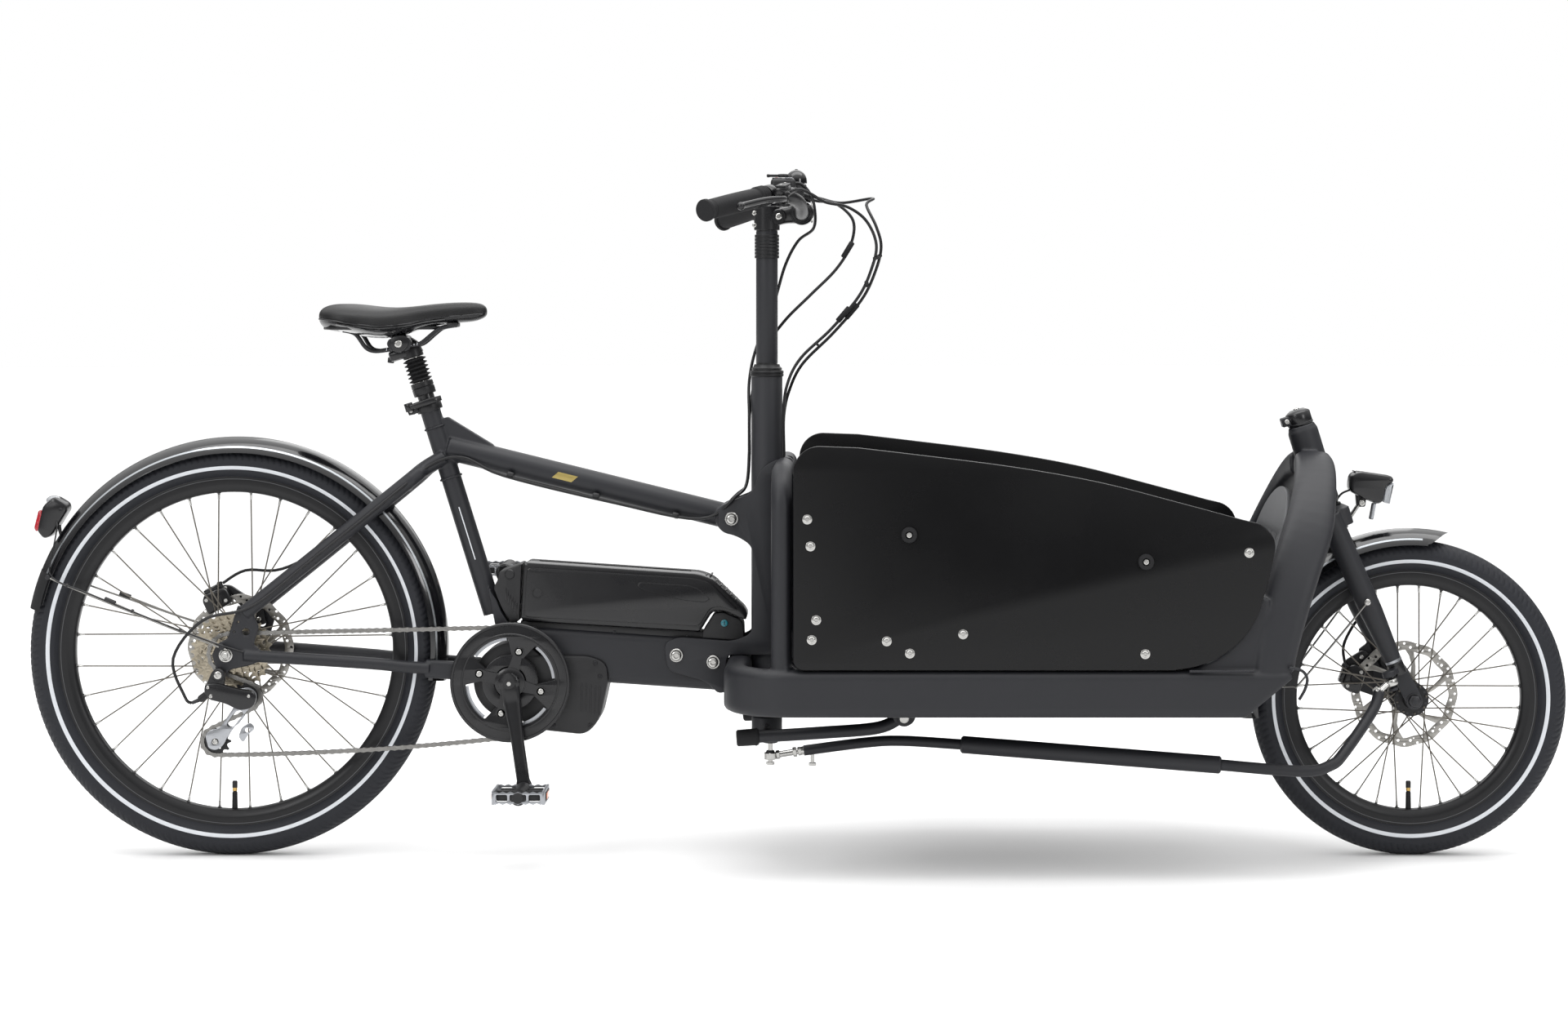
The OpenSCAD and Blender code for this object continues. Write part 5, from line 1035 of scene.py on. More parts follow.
def derailleur():
    s = Shape("derailleur_body", "frame")
    m = Vector((-934.5, -78, 304))
    # Mounting bolt and upper knuckle.
    s.use(STEEL).rod((m.x, -92, m.z), (m.x, -72, m.z), 4.8)
    s.use(PLASTIC).lathe([(4.5, -91), (8.6, -91), (10.4, -89), (10.8, -84), (10.8, -78), (9.6, -76), (4.5, -76)], c=m - Vector((0, m.y, 0)), seg=36, closed=True)
    s.use(STEEL).bolt((m.x, -91, m.z), (0, -1, 0), 6.2, 2.4)
    s.use(PLASTIC).plate(rounded([(-944, 312), (-926, 312), (-924, 296), (-932, 272), (-952, 268), (-956, 284)], 8), -87, -72, edge=2.2)
    # Parallelogram: outer cover and the lower knuckle with its printed-free glossy nose.
    s.use(SEMI).plate(rounded([(-956, 290), (-938, 292), (-904, 282), (-878, 278), (-872, 264), (-880, 250), (-900, 246), (-924, 258), (-950, 264), (-958, 276)], 9), -90, -78, edge=3.4)
    s.use(PLASTIC).plate(rounded([(-936, 284), (-896, 276), (-886, 262), (-896, 250), (-928, 262)], 7), -80, -64, edge=2.0)
    s.lathe([(4, -64), (13.2, -64), (14.2, -66), (14.2, -80), (12.6, -84), (4, -85)], c=(-893, 0, 264), seg=36)
    s.lathe([(3, -62), (12.8, -62), (12.8, -57.6), (3, -57.6)], c=(-893, 0, 264), seg=36)
    s.use(STEEL)
    for x, z in ((-951, 284), (-885, 270)):
        s.bolt((x, -89.6, z), (0, -1, 0), 2.6, 1.4)
    s.bolt((-946, -89.6, 270), (0, -1, 0), 3.2, 2.0)
    # Cage: two silver plates with windows round the pulleys.
    g, t = Vector((GUIDE.x, GUIDE.z, 0)), Vector((TENSION.x, TENSION.z, 0))
    outer = [(-907, 278), (-890, 281), (-878, 272), (-878, 258), (-890, 246), (-908, 226), (-924, 204), (-932, 186), (-944, 178), (-956, 181), (-959, 192), (-962, 204), (-952, 212), (-938, 214), (-926, 232), (-914, 250), (-910, 266)]
    win1 = rounded([(-914, 240), (-904, 244), (-898, 236), (-912, 218), (-922, 214), (-928, 220)], 4, 3)
    win2 = circle((-945.5, 192), 5.5, 20)
    for y, k in ((-57.5, 0), (-44.6, 1)):
        s.use(SILVER).plate(rounded(outer, 9), y - 0.9, y + 0.9, [win1, win2] if k == 0 else [win1], edge=0.5)
    s.plate(rounded([(-908, 200), (-902, 216), (-888, 224), (-880, 214), (-892, 204), (-900, 190)], 6), -58.2, -56.6, [circle((-893, 211), 4, 16)], edge=0.4)
    for c in (GUIDE, TENSION):
        s.use(STEEL).rod((c.x, -58.6, c.z), (c.x, -43.4, c.z), 2.9)
        s.bolt((c.x, -58.5, c.z), (0, -1, 0), 4.4, 2.0)
        s.bolt((c.x, -43.6, c.z), (0, 1, 0), 4.2, 1.6)
    # Barrel adjuster with its ribs, then the ferrule.
    a, b = Vector((-948, -73, 277)), Vector((-968, -73, 262))
    d = (b - a).normalized()
    s.use(PLASTIC).rod(a, b, 5.2, edge=0.6)
    for k in range(10):
        w = Vector((-d.z, 0, d.x))
        n = w * math.cos(TAU * k / 10) + Vector((0, 1, 0)) * math.sin(TAU * k / 10)
        s.rod(a + d * 8 + n * 5.0, b - d * 2 + n * 5.0, 0.9, sides=6)
    s.use(HARDWARE).rod(b, (-980, -73, 257), 3.4, 2.8, edge=0.4)
    s.finish("derailleur", smooth=35, slot="black_plastic")


chain()
cassette()
crankset()
pulleys()
derailleur()


# ------------------------------------------------------------------ motor and battery

def motor_and_battery():
    s = Shape("motor_case", "frame").use(PLASTIC)
    out = [(-470, 232), (-420, 208), (-345, 200), (-322, 226), (-308, 290), (-312, 318), (-340, 330), (-396, 330), (-440, 330), (-470, 330)]
    s.plate(rounded(out, 16, 6), -37.6, 3, edge=5)
    s.plate(rounded(out, 16, 6), 4, 43.6, edge=5)
    s.plate(rounded([(x * 0.985 - 6, z * 0.985 + 4) for x, z in out], 14, 5), 2, 5, edge=0.2)
    s.lathe([(10, -41.5), (42, -41.5), (44, -40), (44.4, -36), (61, -34), (62, -32), (62, 34), (61, 38), (44, 40), (43, 51), (10, 51.5)], c=CRANK, seg=72, closed=True)
    s.use(HARDWARE).lathe([(8.7, -45), (22, -45), (23.6, -43.8), (24, -41)], c=CRANK, seg=48)
    s.use(PLASTIC)
    # Cooling ribs and cover screws on the chain side.
    for k in range(5):
        s.box((-352 + k * 7.4, -38.2, 262 - k * 1.5), (2.2, 1.6, 46), 0.6)
    s.use(HARDWARE)
    for x, z in ((-338, 216), (-322, 296), (-398, 216), (-330, 318)):
        s.bolt((x, -37.8, z), (0, -1, 0), 3.4, 2.2)
        s.bolt((x, 43.8, z), (0, 1, 0), 3.4, 2.2)
    s.finish("motor", smooth=35, slot="black_plastic")

    s = Shape("battery_dock", "frame").use(PLASTIC)
    s.plate(rounded([(-490, 452), (-488, 466), (-463, 475), (-450, 480), (-451, 470), (-454, 386), (-468, 382), (-481, 402), (-490, 422), (-497, 440)], 4), -33, 33, edge=3)
    s.plate([(-453, 372), (-453, 384.9), (-156, 367.1), (-90, 362.8), (-90, 352)], -24, 24, edge=0.8)
    s.plate(rounded([(-156, 360), (-155, 369.6), (-137, 397.6), (-122, 399.6), (-108, 393.6), (-94, 387.6), (-89, 380), (-88, 352), (-156, 356)], 3), -29.4, 29.4, edge=2.4)
    # Round moulding on the dock's shoulder and a line of ribs.
    s.use(SEMI).rod((-470, -34.4, 462), (-470, -31, 462), 8, edge=1, sides=32)
    for k in range(6):
        s.box((-476 + k * 3.6, -33.2, 430 - k * 5), (1.6, 1.4, 20), 0.4)
    s.use(HARDWARE)
    for x in (-430, -300, -180):
        s.bolt((x, -24, 383.5 - (x + 453) * 0.06 - 8), (0, -1, 0), 3, 1.6)
    s.finish("battery_rail", smooth=35, slot="black_plastic")

    s = Shape("battery_pack", "battery").use(SEMI)
    out = [(-452, 386.4), (-446.5, 482.5), (-162, 463.5), (-140, 455.5), (-88, 405.5), (-82.6, 396), (-84.4, 387.4), (-94, 391), (-108, 397.6), (-122, 403),
           (-139, 401.5), (-158, 371), (-162, 369)]
    s.plate(rounded(out, 9, 5), -38, 38, edge=4.5)
    # Raised side covers with a parting line all round, and a recess outlined by a lip.
    cover = rounded([(-446, 393), (-441, 474), (-165, 456), (-143, 449), (-97, 404), (-110, 404), (-124, 410), (-142, 408), (-160, 378)], 9, 5)
    for e in (-1, 1):
        y0, y1 = sorted((37 * e, 41.4 * e))
        s.use(SEMI).plate(cover, y0, y1, edge=1.6)
        y0, y1 = sorted((41.0 * e, 41.9 * e))
        lip = rounded([(-262, 444), (-258, 450), (-176, 444.5), (-160, 438), (-142, 421), (-150, 416), (-184, 419), (-250, 437)], 5, 4)
        inner = [((x - (-200)) * 0.965 - 200, (z - 434) * 0.9 + 434) for x, z in lip]
        s.plate(lip, y0, y1, [inner], edge=0.4)
        s.use(PLASTIC).lathe([(0.1, 41.9 * e), (6.2, 41.9 * e), (7.2, 41.2 * e)], c=(-424, 0, 432), seg=32)
        s.use(SEMI).lathe([(7.6, 41.3 * e), (8.0, 41.9 * e), (9.0, 41.9 * e), (9.4, 41.2 * e)], c=(-424, 0, 432), seg=40)
    # Grip groove along the top and the seam of the two shells.
    s.use(PLASTIC)
    for x in range(-150, -100, 8):
        z = 455.5 - (x + 140) * 0.96 if x > -140 else 459
        s.box((x, 0, z + 0.2), (3, 46, 2.4), 0.6, matrix=None)
    s.box((-300, 0, 473.4), (250, 1.0, 1.4), 0.3, matrix=Matrix.Translation((-300, 0, 473.4)) @ Matrix.Rotation(math.radians(3.82), 4, "Y") @ Matrix.Translation((300, 0, -473.4)))
    s.finish("battery", smooth=35, slot="gloss_plastic")

    s = Shape("lock", "lock")
    s.use(TEAL).lathe([(0.1, -32.6), (4.2, -32.6), (5.4, -32), (5.9, -31), (5.9, -20), (0.1, -20)], c=(-120, 0, 382), seg=32)
    s.use(HARDWARE).box((-120, -32.7, 382), (1.5, 0.6, 6), 0.2)
    s.use(TEAL).box((-120, -32.4, 384.4), (3.4, 0.8, 1.2), 0.3)
    s.finish("lock_barrel", smooth=35, slot="lock_teal")


# ------------------------------------------------------------------ mudguards, lights and brakes

def guard_arc(s, c, r, a0, a1, mat, highlight_mat, tip=0.0):
    """Curved mudguard with rolled edges and a painted highlight each side: a narrow band of bright metal."""
    sec = []
    for k in range(21):
        g = -68 + 136 * k / 20
        sec.append((r - 38 + 38 * cos(g), 38 * sin(g)))
    inner = [(r - 38 + 36 * cos(g), 36 * sin(g)) for g in [68 - 136 * k / 20 for k in range(21)]]
    edge0 = [(sec[-1][0] - 1.6, sec[-1][1] + 0.6), (sec[-1][0] - 2.4, sec[-1][1] - 0.6)]
    edge1 = [(sec[0][0] - 2.4, -(sec[-1][1] - 0.6)), (sec[0][0] - 1.6, -(sec[-1][1] + 0.6))]
    s.use(mat).lathe(sec + edge0 + inner + edge1, c=c, seg=96, a0=a0, a1=a1, closed=True)
    # Painted highlight: a bright metal band along each shoulder stands in for the shine of the gloss.
    s.use(highlight_mat)
    for e in (-1, 1):
        band = [(r - 38 + 38.25 * cos(g), e * 38.25 * sin(g)) for g in (52, 54.5, 57)]
        s.lathe(band, c=c, seg=96, a0=a0 + 2, a1=a1 - 2)


def mudguards():
    c = REAR + Vector((5.5, 0, 5))
    s = Shape("mudguard_rear", "frame")
    guard_arc(s, c, 346, -9, 167, GLOSS, HIGHLIGHT_BAND)
    # Flared tail flap.
    s.use(RUBBER)
    flap = []
    for k in range(9):
        a, t = 158 + 11 * k / 8, k / 8
        ring = []
        for j in range(13):
            g = -66 + 132 * j / 12
            ring.append((a, g, t))
        flap.append([(c.x + (308 + (38.4) * cos(g)) * cos(a), (38.4) * sin(g), c.z + (308 + (38.4) * cos(g)) * sin(a)) for a, g, t in ring])
    for y in range(len(flap) - 1):
        n = len(s.v)
        s.add(flap[y] + flap[y + 1], [[i, i + 1, 13 + i + 1, 13 + i] for i in range(12)])
    for e in (-1, 1):
        s.use(WIRE)
        s.tube([(-1214, e * 34, 455), (-1223, e * 34, 457), (-1150, e * 47, 428), (-940, e * 80, 350), (-930, e * 80.5, 348)], 1.6, sides=10, steps=3)
        s.tube([(-1120, e * 52.5, 421), (-1030, e * 66, 384), (-938, e * 79, 354)], 1.5, sides=10, steps=3)
        s.use(HARDWARE).rod((-1223, e * 27, 457), (-1223, e * 37, 457), 4.2, edge=0.6)
        s.rod((-930, e * 75, 348), (-930, e * 84, 348), 4.6, edge=0.6)
        s.use(PLASTIC).rod((-1126, e * 51, 424), (-1108, e * 54.5, 417), 3.4, edge=0.6)
    s.use(CABLE).tube([(-1216, -14, 552), (-1210, -27, 538), (-1214, -36, 500), (-1216, -37, 458), (-1150, -50, 431), (-1020, -70, 382), (-944, -83, 356), (-915, -80, 346), (-894, -75, 339), (-880, -70, 333)], 1.3, sides=8, steps=5)
    for x in (-1190, -1080, -1000):
        t = (x + 1223) / 293
        s.use(PLASTIC).rod((x - 1.6, -34 - 46 * t, 457 - 108 * t), (x + 1.6, -34 - 46 * t - 0.5, 457 - 108 * t - 1), 3.6, sides=12)
    s.finish("rear_fender", smooth=40, slot="gloss_plastic")

    s = Shape("mudguard_front", "fork")
    guard_arc(s, FRONT, 277, 84, 187, GLOSS, HIGHLIGHT_BAND)
    # Pointed tip, without the painted highlight band.
    s.use(GLOSS)
    tip = []
    for k in range(7):
        t = k / 6
        a, half = 84.2 - 7.9 * t, 66 * (1 - t ** 1.6) + 1.5
        tip.append([(FRONT.x + (239 + 38.1 * cos(g)) * cos(a), 38.1 * sin(g), FRONT.z + (239 + 38.1 * cos(g)) * sin(a)) for g in [-half + 2 * half * j / 12 for j in range(13)]])
    for k in range(6):
        s.add(tip[k] + tip[k + 1], [[i, i + 1, 13 + i + 1, 13 + i] for i in range(12)])
    s.use(WIRE)
    for e in (-1, 1):
        s.tube([(921, e * 83, 421), (870, e * 69.5, 355), (814, e * 54.8, 285), (806, e * 52.6, 281), (760, e * 40, 279), (737, e * 33.5, 278)], 1.7, sides=10, steps=3)
        s.use(STEEL).rod((921, e * 79.5, 421), (921, e * 86, 421), 5.2, edge=0.8)
        s.bolt((921, e * 86, 421), (0, e, 0), 4, 1.6)
        s.use(HARDWARE).rod((737, e * 29, 278), (737, e * 35, 278), 4.0, edge=0.6)
        s.use(WIRE)
    s.use(STEEL).box((890, 0, 534), (4, 18, 58), 0.8)
    s.bolt((888, 0, 548), (-1, 0, 0), 4.4, 2.6)
    s.finish("front_fender", smooth=40, slot="gloss_plastic")


def lights():
    s = Shape("tail_light", "frame")
    s.use(SEMI).plate(rounded([(-1218, 588), (-1236, 572), (-1246, 532), (-1234, 518), (-1222, 524), (-1196, 566), (-1198, 576)], 7, 5), -20, 20, edge=5)
    s.use(REDLENS).plate(rounded([(-1236, 566), (-1243, 565), (-1250.4, 536), (-1247, 530), (-1241, 533)], 4, 4), -19, 19, edge=3)
    s.use(CLEAR).ball((-1222, 0, 580), 10.5, scale=(1.15, 1.5, 0.8))
    s.use(HARDWARE).bolt((-1206, -20, 566), (0, -1, 0), 3.2, 1.6)
    s.use(PLASTIC).rod((-1212, -6, 540), (-1208, -10, 524), 3.5, 2.2)
    s.finish("rear_light", smooth=40, slot="black_plastic")

    s = Shape("head_light", "fork")
    s.use(SEMI)
    shell = [(903, 611), (906, 624), (918, 629), (972, 621), (975.5, 612), (962, 606), (957, 579), (948, 575), (930, 582), (918, 588), (903, 597)]
    s.plate(rounded(shell, 7, 5), -21.6, 21.6, edge=6)
    s.plate(rounded([(914, 596), (932, 592), (930, 570), (916, 570)], 4, 4), -8, 8, edge=2)
    for k in range(5):
        s.box((912 + k * 6, 0, 628.4 - k * 0.8), (2.2, 26, 2.4), 0.7)
    s.use(CLEAR).plate(rounded([(962.4, 604), (975.4, 610.4), (968.4, 575), (957.6, 578)], 2.5, 4), -19, 19, edge=2.6)
    s.use(SILVER).plate(rounded([(952, 602), (962, 604), (958, 580), (950, 582)], 2, 3), -16, 16, edge=1)
    # Bracket to the crown with its clamp bolt, and the rod under the lamp.
    s.use(STEEL).rod((923, -11, 577), (923, 11, 577), 3.4)
    s.bolt((923, -11, 577), (0, -1, 0), 5.6, 3)
    s.bolt((923, 11, 577), (0, 1, 0), 5.6, 3)
    s.tube([(925, 0, 580), (918, 0, 571), (908, 0, 556), (898, 0, 541)], 3.4, squash=2.4, sides=14)
    s.use(SILVER).rod((945, 0, 576), (940, 0, 549.5), 4, edge=1)
    s.use(STEEL)
    for z in (528, 540):
        s.bolt((899, 0, z), (1, 0, 0), 4.6, 3.4)
    s.use(CABLE).tube([(908, 4, 598), (892, 8, 590), (880, 10, 570), (874, 8, 552)], 1.8, sides=8, steps=6)
    s.finish("headlight", smooth=40, slot="black_plastic")


def caliper(s, m, size):
    """Two cast halves round the rotor, joined by bolts, with a hose banjo on top."""
    x, y, z = size
    for e in (-1, 1):
        prof = rounded([(-x / 2, -z / 2), (x / 2, -z / 2 + 3), (x / 2, z / 2 - 6), (x / 4, z / 2), (-x / 3, z / 2), (-x / 2, z / 4)], 6, 4)
        y0, y1 = sorted((e * 2.7, e * y / 2))
        s.use(SEMI).plate(prof, y0, y1, edge=2.4, matrix=m)
        s.use(ANODISED).rod((1, e * (y / 2 - 1), -2), (1, e * (y / 2 + 1.6), -2), 9.5, edge=1.2, sides=32, matrix=m)
        s.use(STEEL)
        for px, pz in ((-x * 0.33, z * 0.22), (x * 0.33, -z * 0.2)):
            s.rod((px, e * (y / 2 - 0.5), pz), (px, e * (y / 2 + 2), pz), 3.2, sides=6, matrix=m)
    s.use(SEMI).box((0, 0, z / 2 + 3), (x * 0.62, y * 0.8, 7), 2, matrix=m)
    s.use(STEEL)
    for k in range(6):
        s.box((-x * 0.22 + k * x * 0.088, 0, z / 2 + 6.6), (1.2, y * 0.5, 1.6), 0.4, matrix=m)
    s.use(HARDWARE).rod((x * 0.3, 0, z / 2 - 2), (x * 0.34, 0, z / 2 + 9), 4.4, edge=0.8, matrix=m)


def brakes():
    s = Shape("brake_rear", "frame")
    m = Matrix.Translation(REAR + Vector((-38, 50, 78))) @ Matrix.Rotation(math.radians(-26), 4, "Y")
    caliper(s, m, (44, 28, 34))
    s.use(ANODISED).plate(rounded([(-960, 436), (-944, 436), (-890, 400), (-884, 372), (-900, 368), (-918, 392)], 5), 57.2, 67.4, edge=1.5)
    s.use(STEEL)
    s.bolt((-952, 57, 430), (0, -1, 0), 4.2, 3)
    s.bolt((-896, 57, 380), (0, -1, 0), 4.2, 3)
    s.finish("rear_brake", smooth=35, slot="black_anodised")
    s = Shape("brake_front", "fork")
    m = Matrix.Translation((917, 38, 284)) @ Matrix.Rotation(math.radians(-70), 4, "Y")
    caliper(s, m, (44, 26, 32))
    s.use(ANODISED).plate(rounded([(905, 312), (935, 330), (952, 318), (952, 282), (925, 262), (912, 258), (905, 270)], 6), 47.2, 55.8, edge=1.5)
    # Hose up the outside of the leg, held by two ties, and into the crown.
    s.use(CABLE).tube([(905, 40, 302), (903, 54, 334), (922, 76, 366), (944, 84, 392), (943, 79, 412), (936, 77.5, 432), (905, 77.3, 500), (888, 77, 540), (874, 70, 556), (864, 62, 562)],
                      2.5, sides=12, steps=6)
    leg = STEER @ Matrix.Translation((-7.5, 62, -115)) @ Matrix.Rotation(math.radians(-7), 4, "Y")
    for z in (-60, -140):
        s.use(PLASTIC).lathe([(18.6, z), (20.2, z), (20.2, z + 4), (18.6, z + 4)], axis="Z", seg=44, matrix=leg, closed=True)
    s.use(STEEL)
    for x, z in ((914, 268), (932, 318)):
        s.bolt((x, 47, z), (0, -1, 0), 4.0, 3)
    s.finish("front_brake", smooth=35, slot="black_anodised")


motor_and_battery()
mudguards()
lights()
brakes()


# ------------------------------------------------------------------ cockpit

BAR = Vector((6, 0, 1052))
GRIP_IN, GRIP_OUT = Vector((-51, -190, 1074)), Vector((-136, -315, 1048))
GRIP = (GRIP_OUT - GRIP_IN).normalized()
AHEAD = Vector((-GRIP.y, GRIP.x, 0)).normalized()
PIVOT = GRIP_IN - 14 * GRIP + 28 * AHEAD - Vector((0, 0, 8))


def facing(at, x_axis, z_axis=(0, 0, 1)):
    """Matrix at a point with its X along x_axis and its Z near z_axis."""
    x = Vector(x_axis).normalized()
    y = Vector(z_axis).cross(x).normalized()
    z = x.cross(y)
    m = Matrix((x, y, z)).transposed().to_4x4()
    m.translation = Vector(at)
    return m


def cockpit():
    s = Shape("column", "steering").use(SEMI)
    s.lathe([(14.4, 196), (17.4, 196), (17.4, 1024), (14.4, 1024)], c=(MAST_X, 0, 0), axis="Z", seg=64, closed=True)
    s.use(PAINT).lathe([(17.45, 806), (17.75, 806.6), (17.75, 1021), (17.45, 1022)], c=(MAST_X, 0, 0), axis="Z", seg=64)
    s.use(ANODISED)
    s.lathe([(17.5, 794.5), (24.4, 794.5), (24.8, 795.2), (24.8, 798), (22, 800.4), (20.6, 804), (17.5, 804)], c=(MAST_X, 0, 0), axis="Z", seg=64, closed=True)
    for k in range(7):
        z = 978 + k * 5.6
        s.lathe([(17.5, z), (19.6, z), (20, z + 0.5), (20, z + 4.6), (19.6, z + 5.1), (17.5, z + 5.1)], c=(MAST_X, 0, 0), axis="Z", seg=56, closed=True)
    s.use(PAINT).lathe([(10, 196), (24.2, 196), (25, 197), (25, 224.5), (24.2, 226), (18, 226)], c=(MAST_X, 0, 0), axis="Z", seg=64)
    # Steering arm under the floor with the ball stud.
    out = [(MAST_X + 24 * cos(a), 24 * sin(a)) for a in range(0, 181, 12)] + [(MAST_X + 8 + 12 * cos(a), -84 + 12 * sin(a)) for a in range(180, 361, 15)]
    s.plate(out, 194.2, 204, edge=1.6, lay="flat")
    c = (MAST_X + 8, -84, 0)
    s.use(STEEL).rod((c[0], c[1], 159), (c[0], c[1], 195), 3.9)
    s.lathe([(0.1, 159), (6.4, 159), (6.9, 160), (6.9, 163.4), (4, 164)], c=c, axis="Z", seg=6)
    s.lathe([(4, 204), (8, 204), (8, 210), (6, 211.5), (0.1, 211.5)], c=c, axis="Z", seg=6)
    s.use(HARDWARE).bolt((MAST_X, -24.6, 212), (0, -1, 0), 5, 4)
    s.bolt((MAST_X + 14, 0, 196), (0, 0, -1), 5, 4)
    s.finish("steering_column", smooth=35, slot="frame_paint")

    s = Shape("bar", "steering").use(ANODISED)
    route = [BAR + Vector((0, 1, 0)), BAR + Vector((0, -40, 0)), BAR + Vector((-3, -92, 14)), BAR + Vector((-20, -142, 22)), GRIP_IN, GRIP_OUT]
    s.tube(route, 11.1, sides=28, steps=8)
    s.mirror()
    s.rod(BAR + Vector((0, -26, 0)), BAR + Vector((0, 26, 0)), 16, edge=2, sides=36)
    # Stem: pinch collar, adjustable knuckle and a forward arm with its face plate.
    s.use(SEMI).lathe([(15, 1024), (20.4, 1024), (21, 1024.8), (21, 1063), (19.6, 1064.4), (0.1, 1064.4)], c=(MAST_X, 0, 0), axis="Z", seg=56)
    arm = []
    for k in range(9):
        t = k / 8
        x = MAST_X + 14 + (6 - MAST_X - 20) * t
        w, h, z = 16 + 3 * t, 15 + 2.4 * t - 2.4 * math.sin(math.pi * t), 1045 + 7 * t
        arm.append([(x, w * math.copysign(abs(math.cos(a)) ** 0.6, math.cos(a)), z + h * math.copysign(abs(math.sin(a)) ** 0.6, math.sin(a))) for a in [TAU * j / 24 for j in range(24)]])
    s.skin(arm)
    s.rod(BAR + Vector((0, -20, 0)), BAR + Vector((0, 20, 0)), 19.4, edge=2.4, sides=40)
    s.rod((MAST_X + 20, -19, 1046), (MAST_X + 20, 19, 1046), 13, edge=2)
    s.use(STEEL)
    for y in (-13, 13):
        for dz in (-12, 12):
            s.bolt((BAR.x + 15, y, BAR.z + dz), (1, 0, 0), 3.8, 3)
    s.bolt((MAST_X + 20, -19, 1046), (0, -1, 0), 5.5, 3)
    s.bolt((MAST_X, 0, 1064.4), (0, 0, 1), 6, 3)
    for z in (1032, 1052):
        s.bolt((MAST_X - 20, -8, z), (0, -1, 0), 4, 5)
    s.finish("handlebar", smooth=35, slot="black_anodised")

    s = Shape("grip_pair", "steering").use(RUBBER)
    d, L = GRIP, (GRIP_OUT - GRIP_IN).length
    n = 96
    rings = []
    up = Vector((0, 0, 1))
    u = (up - d * up.dot(d)).normalized()
    w = d.cross(u)
    for k in range(n + 1):
        t = k / n
        x = t * L
        base = 15.2 + 0.9 * math.sin(math.pi * t) - (0.8 if t > 0.92 else 0)
        if x < 22:
            # Ribbed collar at the inner end.
            base = 16.6 + (0.7 if int(x / 2.4) % 2 else -0.5)
        elif x < 26:
            base = 14.4
        ring = []
        for j in range(40):
            a = TAU * j / 40
            r = base
            if x > 30 and t < 0.93:
                # Rows of shallow ribs on the palm side.
                r += 0.45 * (1 if (j + k // 2) % 2 else -0.4) * (1 if math.cos(a) < 0.5 else 0)
            ring.append(GRIP_IN + d * x + r * (u * math.cos(a) + w * math.sin(a)))
        rings.append(ring)
    s.skin(rings)
    s.lathe([(11, -3), (16.6, -3), (17.5, -1.6), (17.6, 2.6), (16.4, 4.6), (11, 5.2), (0.1, 4.4)], axis="Z", seg=44, matrix=facing(GRIP_OUT, d) @ Matrix.Rotation(math.pi / 2, 4, "Y"))
    s.mirror().finish("grips", smooth=32, slot="rubber")

    s = Shape("control_bodies", "steering")
    m = facing(GRIP_IN - 12 * GRIP, -GRIP)
    s.use(SEMI).lathe([(11.2, -8), (15.4, -8), (16, -7), (16, 7), (15.4, 8), (11.2, 8)], axis="Z", seg=40, matrix=m @ Matrix.Rotation(math.pi / 2, 4, "Y"), closed=True)
    # Master cylinder: barrel ahead of the bar with a reservoir lid on top.
    a, b = GRIP_IN - 34 * GRIP + 18 * AHEAD, GRIP_IN - 4 * GRIP + 30 * AHEAD
    hose = GRIP_IN - 62 * GRIP + 12 * AHEAD
    s.tube([b + Vector((0, 0, 2)), a + Vector((0, 0, 1)), hose], [8.6, 9.2, 9.4, 8.4, 6.5, 5.0], sides=24, steps=6)
    s.box((0, 0, 0), (40, 19, 12), 4, matrix=facing((a + b) / 2 + Vector((0, 0, 7)), a - b))
    s.use(PLASTIC).box((0, 0, 0), (36, 17, 3), 1.2, matrix=facing((a + b) / 2 + Vector((0, 0, 14)), a - b))
    s.use(STEEL)
    for k in (-14, 14):
        q = (a + b) / 2 + (a - b).normalized() * k + Vector((0, 0, 15.4))
        s.bolt(q, (0, 0, 1), 2.4, 1.2)
    s.use(SEMI)
    for z in (9, -9):
        s.lathe([(0.1, z - 2.6), (10.2, z - 2.6), (11, z - 1.8), (11, z + 1.8), (10.2, z + 2.6), (0.1, z + 2.6)], axis="Z", seg=32, matrix=Matrix.Translation(PIVOT))
        s.box((0, 0, 0), (22, 15, 5), 1.6, matrix=facing(PIVOT + Vector((0, 0, z)) - AHEAD * 9, AHEAD))
    s.use(STEEL).rod(PIVOT - Vector((0, 0, 12)), PIVOT + Vector((0, 0, 12.4)), 2.9, edge=0.5)
    s.use(PLASTIC).rod(hose, hose - GRIP * 9 + AHEAD * 2, 4.8, 3.4, edge=0.5)
    s.mirror()
    # Shifter pod on the right with its gear window, display in the middle.
    s.use(PLASTIC).box((-22, -112, 1092), (40, 34, 26), 7, seg=4)
    s.lathe([(0.1, 1104.6), (11, 1104.6), (13, 1103.6), (14, 1101)], c=(-22, -112, 0), axis="Z", seg=36)
    s.use(CLEAR).box((-13, -123, 1105), (12, 8, 1.6), 0.7)
    s.use(PLASTIC).rod((-18, -98, 1082), (-14, -82, 1072), 10, edge=1.5)
    md = Matrix.Translation((2, 0, 1082)) @ Matrix.Rotation(math.radians(20), 4, "Y")
    s.use(SEMI).box((0, 0, 0), (46, 66, 12), 3.6, seg=3, matrix=md)
    s.use(CLEAR).box((-2, 0, 5.6), (33, 52, 1.4), 0.6, matrix=md)
    s.use(PLASTIC)
    for y in (-24, -12, 12, 24):
        s.box((19, y, 5.8), (5, 8, 2.4), 1, matrix=md)
    s.box((0, 0, -9), (20, 40, 10), 3, matrix=md)
